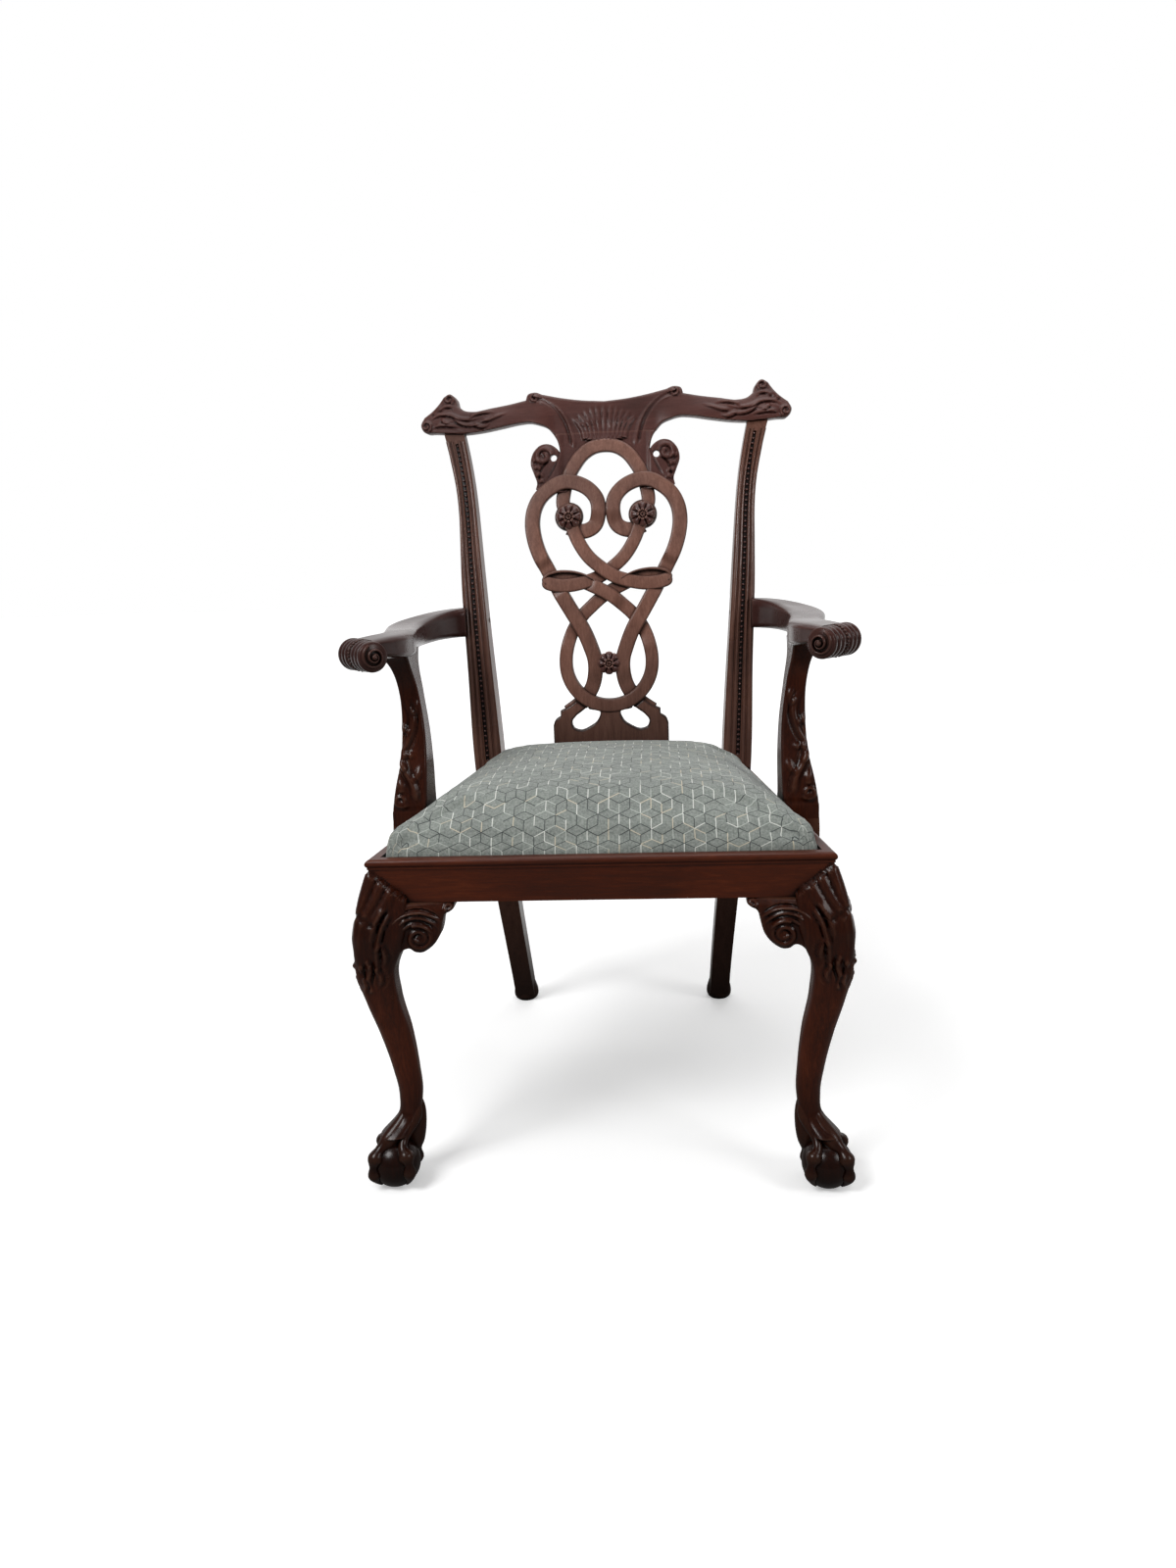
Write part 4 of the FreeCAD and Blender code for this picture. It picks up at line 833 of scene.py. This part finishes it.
def makeRoll(s):
    half = s["length"] / 2
    t = np.linspace(-1, 1, 97)
    reed = np.abs(np.sin((t + 1) * math.pi * 3.5))**0.55
    flat = (t > -0.12) & (t < 0.16)
    radius = s["radius"] * (0.93 + 0.04 * t) + np.where(flat, 0.2, 1.7 * reed) - 1.2 * (np.abs(t) > 0.97)
    a = np.linspace(0, 2 * math.pi, 72, endpoint=False)
    rings = np.stack([(t * half)[:, None] + 0 * a, radius[:, None] * np.cos(a), radius[:, None] * np.sin(a)], -1)
    shells = [tube(rollPoints(s, rings))]
    beads = []
    for across, up in ringLine(0, 0, s["radius"] * 0.95, s["beads"]):
        beads.append(blob(rollPoints(s, np.array([0.02 * half, across, up])), 2.1, 6, 8))
    for end in (-1, 1):   # spiral volute on each end
        line = spiralLine(0, 0, s["radius"] * (0.80 + 0.03 * end), 2.6, 2.0, 70, end)
        wide = np.linspace(4.6, 2.8, len(line))
        level = np.linspace(-1.0, -5.0, len(line))
        face = lambda x, z, off: rollPoints(s, np.stack([end * (half - 0.5 - off), x, z], -1))
        shells.append(band(line, wide, level, 3.0, crown=1.6, edge=1.6, across=9, surface=face))
        shells.append(blob(rollPoints(s, np.array([end * (half + 3.0), 0, 0])), 3.6, 8, 14))
    return shells, beads


arm = makeArm(armSet)
rollShells, rollBeads = makeRoll(armSet)
for side, turn in sides:
    shells = [turn(arm)] + [turn(r) for r in rollShells]
    buildPiece(side + "ArmCarved", *joinShells(shells), "chair_frame", armWood, [side + "_arm"], sharpAngle=55)
    buildPiece(side + "ArmBeads", *joinShells([turn(b) for b in rollBeads]), "chair_frame", armWood)
print("arms")

# Arm supports: leaf-carved uprights on a plain square base
supportSet = dict(inner=[(243, 654), (243.5, 636), (238, 596), (231.5, 545), (230, 500), (231, 450), (231, 414)],
                  outer=[(281, 654), (270, 636), (262.5, 605), (259.5, 555), (263, 505), (269.5, 475), (274, 446),
                         (274, 414)],
                  front=[(140, 654), (156, 645), (168, 631), (177, 611), (178, 594), (170, 540), (154, 480), (149, 446),
                         (149, 414)],
                  rear=[(223, 652), (214, 610), (206, 545), (209, 480), (212, 446), (212, 414)],
                  radius=4.0, skin=1.3, low=414.0, block=446.0, high=654.0)


def supportCarving(x, z):
    h = np.zeros(x.shape)
    stem = np.array([(241.5, 453), (246, 479), (257, 501), (259, 519), (250, 539), (245.5, 564), (251, 581), (263, 593)])
    h += stroke(x, z, stem, 6.5, 3.4, ends=(0.1, 0.35), ridge=0.8)
    h -= stroke(x, z, stem - (5.0, 0), 3.4, 2.4, ends=(0.1, 0.35))
    h -= stroke(x, z, stem + (6.5, 0), 3.4, 2.0, ends=(0.3, 0.35))
    leaves = [[(259, 519), (250, 517), (241, 521)], [(250, 545), (257, 550), (264, 560)],
              [(263, 468), (262, 478), (267, 488)], [(248, 484), (240, 492), (236, 506)],
              [(254, 498), (262, 506), (265, 516)], [(246, 568), (242, 580), (246, 594)]]
    for line in leaves:
        h += stroke(x, z, line, 5.2, 2.8, ends=(0.15, 0.5), ridge=0.8)
    h += stroke(x, z, spiralLine(263, 459, 9, 2, 1.6, 200, 1), 3.2, 2.8, ends=(0.05, 0.05))
    for low in ((226, 446.5), (226, 449)):
        h -= stroke(x, z, [low, (280, low[1])], 1.6, 1.2, ends=(0, 0))
    return h


def makeSupport(s):
    z = np.arange(s["low"], s["high"], 2.0)
    faces = [np.interp(z, *smoothLine(s[key], 3)[::-1, ::-1].T) + way * s["skin"]
             for key, way in (("inner", -1), ("outer", 1), ("front", -1), ("rear", 1))]
    radius = np.where(z < s["block"], 1.5, s["radius"])
    rings, normal = column(np.column_stack([z, *faces, radius]))
    x, zz = rings[..., 0], rings[..., 2]
    h = supportCarving(x, zz) * np.clip(-normal[..., 1], 0, 1)**2
    return tube(rings + normal * h[..., None])


support = makeSupport(supportSet)
for side, turn in sides:
    buildPiece(side + "SupportCarved", *turn(support), "chair_frame", legWood, sharpAngle=60)
print("arm supports")

# Drop-in seat: a stuffed cushion that cloth pressure fills out, capped so that it stays in its frame
seatSet = dict(gap=12.5, rear=434.0, low=414.0, corner=15.0, count=200, voxel=0.005, pressure=4.0, frames=20, cap=0.008,
               crown=(0.5, 9.0), held=14, swell=30, skirt=9, hem=3, snap=0.007,
               levels=[(0, 0.5), (20, 0.5), (31, 1.5), (42, 6.5), (52, 15.5), (60, 29), (66.5, 49), (71, 76), (74.5, 108),
                       (76.5, 148), (77.5, 185)],
               lip=((0.012, 0.256), (0.434, 0.2045)), frontStop=0.0122, notch=(0.2268, 0.146, 0.216),
               shoeHalf=0.1, shoeStop=0.4345, rearStop=0.4425)


def seatLoop(inset, s):   # outline of the drop-in seat, or of a ring inside it
    slope = (rearHalf - frontHalf) / backY
    front, rear = s["gap"] + inset, s["rear"] - inset
    side = (s["gap"] + inset) / math.cos(sideAngle)
    xf, xr = frontHalf + slope * front - side, frontHalf + slope * rear - side
    r = max(2.0, min(s["corner"] + inset * 0.35, xr - 1, (rear - front) / 2 - 1))
    pts = []
    corners = ((xr - r, rear - r), (r - xr, rear - r), (r - xf, front + r), (xf - r, front + r))
    for (x, y), turn in zip(corners, (0, 90, 180, 270)):
        a = np.radians(turn + np.linspace(0, 90, 12))
        pts.append(np.stack([x + r * np.cos(a), y + r * np.sin(a)], 1))
    loop = np.vstack(pts + [pts[0][:1]])
    along = np.concatenate([[0], np.cumsum(np.linalg.norm(np.diff(loop, axis=0), axis=1))])
    where = np.linspace(0, along[-1], s["count"], endpoint=False)
    return np.stack([np.interp(where, along, loop[:, k]) for k in range(2)], 1)


def snapTo(points, loop, reach):   # moves points that are near a closed outline on to it
    best = np.full(len(points), reach)
    out = points.copy()
    for a, b in zip(loop, np.roll(loop, -1, axis=0)):
        t = np.clip((points - a) @ (b - a) / max(1e-9, (b - a) @ (b - a)), 0, 1)
        spot = a + t[:, None] * (b - a)
        d = np.linalg.norm(points - spot, axis=1)
        out[d < best] = spot[d < best]
        best = np.minimum(best, d)
    return out


def unrollCover(mesh, s):   # lays the cloth flat, so that the pattern runs on down the sides
    line = smoothLine(s["levels"], 2.0)[::-1] * mm
    steps = np.diff(line, axis=0)
    extra = np.concatenate([[0], np.cumsum(np.hypot(steps[:, 0], steps[:, 1]) + steps[:, 1])])
    spots = np.array([v.co for v in mesh.vertices])
    normals = np.array([v.normal for v in mesh.vertices])[:, :2]
    normals /= np.maximum(0.05, np.linalg.norm(normals, axis=1))[:, None]
    down = np.interp(-(spots[:, 2] - s["low"] * mm), -line[:, 0], extra)
    flat = spots[:, :2] + normals * down[:, None]
    corner = np.array([c.vertex_index for c in mesh.loops])
    mesh.uv_layers.new(name="unrolled").data.foreach_set("uv", flat[corner].astype(np.float32).ravel())


def seatRing(inset, rise, s):
    return np.column_stack([seatLoop(inset, s), np.full(s["count"], s["low"] + rise)])


def fillWithCloth(piece, rest, s):   # air pressure in a cover that is held at its lower edge
    held = piece.vertex_groups.new(name="held")
    held.add([i for i, p in enumerate(rest) if p[2] < (s["low"] + s["held"]) * mm], 1.0, "REPLACE")
    cloth = piece.modifiers.new("cloth", "CLOTH")
    cloth.settings.quality = 5
    cloth.settings.mass = 0.3
    cloth.settings.use_pressure = True
    cloth.settings.uniform_pressure_force = s["pressure"]
    cloth.settings.vertex_group_mass = held.name
    cloth.settings.effector_weights.gravity = 0
    cloth.settings.tension_stiffness = 25
    cloth.settings.bending_stiffness = 1.5
    scene = bpy.context.scene
    for number in range(1, s["frames"] + 1):
        scene.frame_set(number)
    bpy.ops.object.modifier_apply(modifier=cloth.name)
    scene.frame_set(1)


def keepInFrame(out, s):   # pulls the cover tight round its frame and holds it inside the lips
    rise = out[:, 2] / mm - s["low"]
    out[:, 2] += ease((rise - s["swell"]) * mm / 0.04) * (s["crown"][0] - s["crown"][1] * (out[:, 0] / 0.2)**2) * mm
    rise = out[:, 2] / mm - s["low"]
    skirt = rise < s["skirt"]
    out[skirt, :2] = snapTo(out[skirt, :2], toFrame(seatRing(0.2, 0, s))[:, :2], s["snap"])
    out[rise < s["hem"], 2] = s["low"] * mm
    depth = out[:, 1] - railFace
    halfWidth = np.interp(depth, *np.transpose(s["lip"]))
    out[:, 0] = np.clip(out[:, 0], -halfWidth, halfWidth)
    clear, near, far = s["notch"]   # clear of the arm supports
    beside = (np.abs(out[:, 0]) > clear) & (depth > near) & (depth < far)
    out[beside, 0] = np.sign(out[beside, 0]) * clear
    bulging = (np.abs(out[:, 0]) > s["shoeHalf"]) & (out[:, 2] > (s["low"] + 8) * mm)   # the shoe is in the middle
    rearLimit = np.where(bulging, s["rearStop"], s["shoeStop"])
    out[:, 1] = np.clip(out[:, 1], railFace + s["frontStop"], railFace + rearLimit)


def makeSeat(s, material):
    rings = np.stack([seatRing(inset, rise, s) for rise, inset in smoothLine(s["levels"], 6.0)])
    piece = buildPiece("seatCushion", *tube(rings), "drop_in_seat", material, ["seat_cover", "seat_pad"],
                       slot="seat_fabric", sharpAngle=80)
    bpy.context.view_layer.objects.active = piece
    remesh = piece.modifiers.new("remesh", "REMESH")
    remesh.mode = "VOXEL"
    remesh.voxel_size = s["voxel"]
    bpy.ops.object.modifier_apply(modifier=remesh.name)
    mesh = piece.data
    rest = np.array([v.co for v in mesh.vertices])
    fillWithCloth(piece, rest, s)
    step = np.array([v.co for v in mesh.vertices]) - rest
    far = np.linalg.norm(step, axis=1)
    out = rest + step * np.minimum(1, s["cap"] / np.maximum(1e-9, far))[:, None]
    keepInFrame(out, s)
    mesh.vertices.foreach_set("co", out.astype(np.float32).ravel())
    mesh.update()
    unrollCover(mesh, s)
    print("seat: moved", round(far.max() / mm, 1), "mm at most, top", round(out[:, 2].max() / mm, 1))
    sub = piece.modifiers.new("smooth", "SUBSURF")
    sub.levels = sub.render_levels = 1
    for f in mesh.polygons:
        f.use_smooth = True


fabricSet = dict(edge=0.0145, thread=0.041, drawn=0.92, ridge=0.35, weave=900.0 / 3.1, turns=(30, 90, 150), paleTurn=90,
                 pale=0.42, fewPale=0.06)
groundTones = [(0.3, (0.152, 0.173, 0.161)), (0.5, (0.231, 0.255, 0.235)), (0.7, (0.310, 0.334, 0.308))]
whiteThread, darkThread = (0.688, 0.704, 0.656), (0.0416, 0.048, 0.048)
beigeThread, greyThread = (0.576, 0.512, 0.384), (0.416, 0.448, 0.408)


def blockEdges(tree, flat, turn, seed, s):   # edges of the blocks in one direction: two of every three lengths are drawn
    spun = addNode(tree, "Mapping", {"Rotation": (0, 0, math.radians(turn)), "Scale": (1 / s["edge"],) * 3}, Vector=flat)
    split = addNode(tree, "SeparateXYZ", Vector=spun.outputs[0])
    rows = calc(tree, "DIVIDE", split.outputs[1], math.sqrt(0.75))
    rowId = calc(tree, "ROUND", rows)
    off = calc(tree, "ABSOLUTE", calc(tree, "SUBTRACT", rows, rowId))
    along = calc(tree, "MULTIPLY_ADD", rowId, 1.5, split.outputs[0])
    part = calc(tree, "PINGPONG", along, 1.5)
    near = calc(tree, "MULTIPLY", calc(tree, "LESS_THAN", off, s["thread"]), calc(tree, "LESS_THAN", part, 1.0))
    edgeId = calc(tree, "FLOOR", calc(tree, "DIVIDE", along, 1.5))
    key = addNode(tree, "CombineXYZ", {"Z": seed}, X=edgeId, Y=rowId)
    return near, addNode(tree, "TexWhiteNoise", {"noise_dimensions": "3D"}, Vector=key.outputs[0]).outputs[0]


def fabricMaterial(s):   # rhombus lattice of broken lines on a linen ground
    mat, tree, shader = nodeMaterial("seatFabric")
    spots = addNode(tree, "TexCoord")
    where, flat = spots.outputs["Object"], spots.outputs["UV"]
    weave = []
    for turn in (0, 90):
        spun = addNode(tree, "Mapping", {"Rotation": (0, 0, math.radians(turn))}, Vector=flat)
        wave = {"Scale": s["weave"], "Distortion": 1.2, "Detail": 2.0, "Detail Scale": 2.0}
        weave.append(addNode(tree, "TexWave", wave, Vector=spun.outputs[0]).outputs[1])
    height = calc(tree, "MULTIPLY", *weave)
    slub = addNode(tree, "TexNoise", {"Scale": 420.0, "Detail": 4.0}, Vector=where).outputs[0]
    cloud = addNode(tree, "TexNoise", {"Scale": 11.0, "Detail": 3.0}, Vector=where).outputs[0]
    tint = ramp(tree, cloud, [(0.35, (0.86, 0.86, 0.85)), (0.65, (1.06, 1.06, 1.04))])
    colour = mixColour(tree, "MULTIPLY", 0.8, ramp(tree, slub, groundTones), tint)
    for k, turn in enumerate(s["turns"]):
        near, chance = blockEdges(tree, flat, turn, 3.7 * k, s)
        pale = s["pale"] if turn == s["paleTurn"] else s["fewPale"]   # the threads that run to the back are the pale ones
        inks = [(0.0, whiteThread), (pale, darkThread), (0.68, beigeThread), (0.78, greyThread)]
        drawn = calc(tree, "MULTIPLY", near, calc(tree, "LESS_THAN", chance, s["drawn"]))
        colour = mixColour(tree, "MIX", drawn, colour, ramp(tree, chance, inks, "CONSTANT"))
        height = calc(tree, "MULTIPLY_ADD", drawn, s["ridge"], height)
    lift = addNode(tree, "Bump", {"Strength": 0.45, "Distance": 0.0006}, Height=height)
    feedShader(tree, shader, {"Base Color": colour, "Normal": lift.outputs[0], "Roughness": 0.82,
                              "Sheen Weight": 0.25, "Sheen Roughness": 0.5})
    return mat


makeSeat(seatSet, fabricMaterial(fabricSet))


# Cloth for the webbing, and steel for the screws
def webbingMaterial():
    mat, tree, shader = nodeMaterial("webCloth")
    where = addNode(tree, "TexCoord").outputs["Object"]
    weave = addNode(tree, "TexWave", {"Scale": 180.0, "Distortion": 1.5, "Detail": 2.0}, Vector=where).outputs[1]
    lift = addNode(tree, "Bump", {"Strength": 0.4, "Distance": 0.0005}, Height=weave)
    tone = ramp(tree, weave, [(0.2, (0.22, 0.15, 0.08)), (0.8, (0.42, 0.31, 0.18))])
    feedShader(tree, shader, {"Base Color": tone, "Normal": lift.outputs[0], "Roughness": 0.9})
    return mat


def steelMaterial():
    mat, tree, shader = nodeMaterial("screwSteel")
    where = addNode(tree, "TexCoord").outputs["Object"]
    mottle = addNode(tree, "TexNoise", {"Scale": 300.0, "Detail": 4.0}, Vector=where).outputs[0]
    tone = ramp(tree, mottle, [(0.3, (0.22, 0.2, 0.18)), (0.7, (0.5, 0.48, 0.45))])
    feedShader(tree, shader, {"Base Color": tone, "Metallic": 1.0, "Roughness": 0.4})
    return mat


# CAD nodes that stay: finish, and eased edges on the timber
edgeSet = dict(width=0.0009, segments=2, angle=40)
screwSteel = steelMaterial()
finishes = {"splat_shoe": railWood, "front_seat_rail": railWood, "rear_seat_rail": railWood, "front_lip": railWood,
            "seat_webbing": webbingMaterial(), "corner_block_screws": screwSteel, "arm_support_screws": screwSteel,
            "arm_screws": screwSteel}
for side in ("right_", "left_"):
    finishes.update({side + "back_post": postWood, side + "seat_rail": sideWood, side + "front_side_lip": sideWood,
                     side + "rear_side_lip": sideWood, side + "arm_support": legWood,
                     side + "front_corner_block": beechWood, side + "rear_corner_block": beechWood})
for end in ("right", "left", "front", "rear"):
    finishes["seat_frame_" + end] = beechWood
for name, node in nodes.items():
    if name in finishes:
        node.data.materials.clear()
        node.data.materials.append(finishes[name])
        if finishes[name] in (railWood, sideWood, postWood):
            bevel = node.modifiers.new("eased", "BEVEL")
            bevel.width = edgeSet["width"]
            bevel.segments = edgeSet["segments"]
            bevel.limit_method = "ANGLE"
            bevel.angle_limit = math.radians(edgeSet["angle"])
print("finishes on CAD nodes")

# Floor, light and camera
stageSet = dict(size=14.0, paint=((0.3, 0.93), (0.7, 0.96)), glow=((0.16, 0.34), (0.7, 0.9)), glowReach=5.0,
                floorDark=(0.16, 0.15, 0.14, 1), seen=1.0, lit=0.29, room=0.08)


def seenRays(tree, where):   # rays that look at the background: straight, through, or mirrored from the backdrop's side
    path = addNode(tree, "LightPath").outputs
    behind = ramp(tree, addNode(tree, "SeparateXYZ", Vector=where).outputs[1], grey((0.3, 0.05), (0.85, 1)))
    mirrored = calc(tree, "MULTIPLY", path["Is Glossy Ray"], behind)
    straight = calc(tree, "MAXIMUM", path["Is Camera Ray"], path["Is Transmission Ray"])
    return calc(tree, "MAXIMUM", straight, mirrored)


def mixShaders(tree, share, first, second):
    node = addNode(tree, "MixShader")
    for socket, source in zip(node.inputs, (share, first, second)):
        tree.links.new(source, socket)
    return node.outputs[0]


def makeFloor(s):
    size = s["size"]
    mesh = bpy.data.meshes.new("floor")
    mesh.from_pydata([(-size, -size, 0), (size, -size, 0), (size, size, 0), (-size, size, 0)], [], [(0, 1, 2, 3)])
    floor = bpy.data.objects.new("floor", mesh)
    bpy.context.scene.collection.objects.link(floor)
    mat, tree, shader = nodeMaterial("floorPaint")
    where = addNode(tree, "TexCoord").outputs["Object"]
    noise = addNode(tree, "TexNoise", {"Scale": 3.0, "Detail": 2.0}, Vector=where).outputs[0]
    away = addNode(tree, "VectorMath", {"operation": "LENGTH"}, Vector=where).outputs["Value"]
    reach = addNode(tree, "MapRange", {"From Max": s["glowReach"]}, Value=away).outputs[0]
    glow = ramp(tree, reach, grey(*s["glow"]))   # keeps the white going where the lamps fall off
    feedShader(tree, shader, {"Base Color": ramp(tree, noise, grey(*s["paint"])), "Roughness": 0.9,
                              "Specular IOR Level": 0.1, "Emission Color": glow, "Emission Strength": 1.0})
    dark = addNode(tree, "BsdfDiffuse", {"Color": s["floorDark"]})   # little light comes back up from it
    picked = mixShaders(tree, seenRays(tree, where), dark.outputs[0], shader.outputs[0])
    tree.links.new(picked, tree.nodes["Material Output"].inputs[0])
    mesh.materials.append(mat)


def makeWorld(s):
    world = bpy.data.worlds.new("studio")
    bpy.context.scene.world = world
    world.use_nodes = True
    sky = world.node_tree
    sky.nodes.clear()
    seen, lit, room = (addNode(sky, "Background", {"Color": (1, 1, 1, 1), "Strength": s[key]}).outputs[0]
                       for key in ("seen", "lit", "room"))
    mirrored = addNode(sky, "LightPath").outputs["Is Glossy Ray"]
    dimmed = mixShaders(sky, mirrored, lit, room)   # the room behind the camera is dim in the polish
    where = addNode(sky, "TexCoord").outputs["Generated"]
    out = addNode(sky, "OutputWorld")
    sky.links.new(mixShaders(sky, seenRays(sky, where), dimmed, seen), out.inputs[0])


makeFloor(stageSet)
makeWorld(stageSet)

lightSet = [dict(name="keyLight", at=(-1.7, -1.9, 2.9), size=1.3, power=72),
            dict(name="fillLight", at=(2.3, -1.5, 1.9), size=1.0, power=21),
            dict(name="topLight", at=(0.1, 0.4, 3.2), size=2.0, power=31)]
lightAim = Vector((0, 0, 0.5))
for s in lightSet:
    lamp = bpy.data.lights.new(s["name"], "AREA")
    lamp.energy = s["power"]
    lamp.size = s["size"]
    light = bpy.data.objects.new(s["name"], lamp)
    light.location = s["at"]
    light.rotation_euler = (lightAim - Vector(s["at"])).to_track_quat("-Z", "Y").to_euler()
    bpy.context.scene.collection.objects.link(light)

cameraSet = dict(yaw=-4.019, pitch=12.926, roll=-2.177, at=(73.19, -1150.76, 775.65), focal=1062.03, tall=1600,
                 sensor=36.0)


def spin(degrees, a, b):   # turn in the plane of two axes
    angle = math.radians(degrees)
    out = np.eye(3)
    out[a, a] = out[b, b] = math.cos(angle)
    out[a, b], out[b, a] = -math.sin(angle), math.sin(angle)
    return out


def makeCamera(s):
    level = np.array([[1, 0, 0], [0, 0, -1], [0, 1, 0]])   # picture axes: right, down and ahead
    view = spin(s["roll"], 0, 1) @ spin(s["pitch"], 1, 2) @ level @ spin(s["yaw"], 0, 1)
    lens = bpy.data.cameras.new("photoCamera")
    lens.sensor_fit = "VERTICAL"
    lens.sensor_height = s["sensor"]
    lens.lens = s["focal"] * s["sensor"] / s["tall"]
    lens.clip_start = 0.01
    camera = bpy.data.objects.new("photoCamera", lens)
    place = np.eye(4)
    place[:3, :3] = np.stack([view[0], -view[1], -view[2]], 1)
    place[:3, 3] = toFrame(s["at"])
    camera.matrix_world = Matrix(place.tolist())
    bpy.context.scene.collection.objects.link(camera)
    bpy.context.scene.camera = camera


makeCamera(cameraSet)
bpy.context.scene.view_settings.view_transform = "Standard"
print("stage and camera")
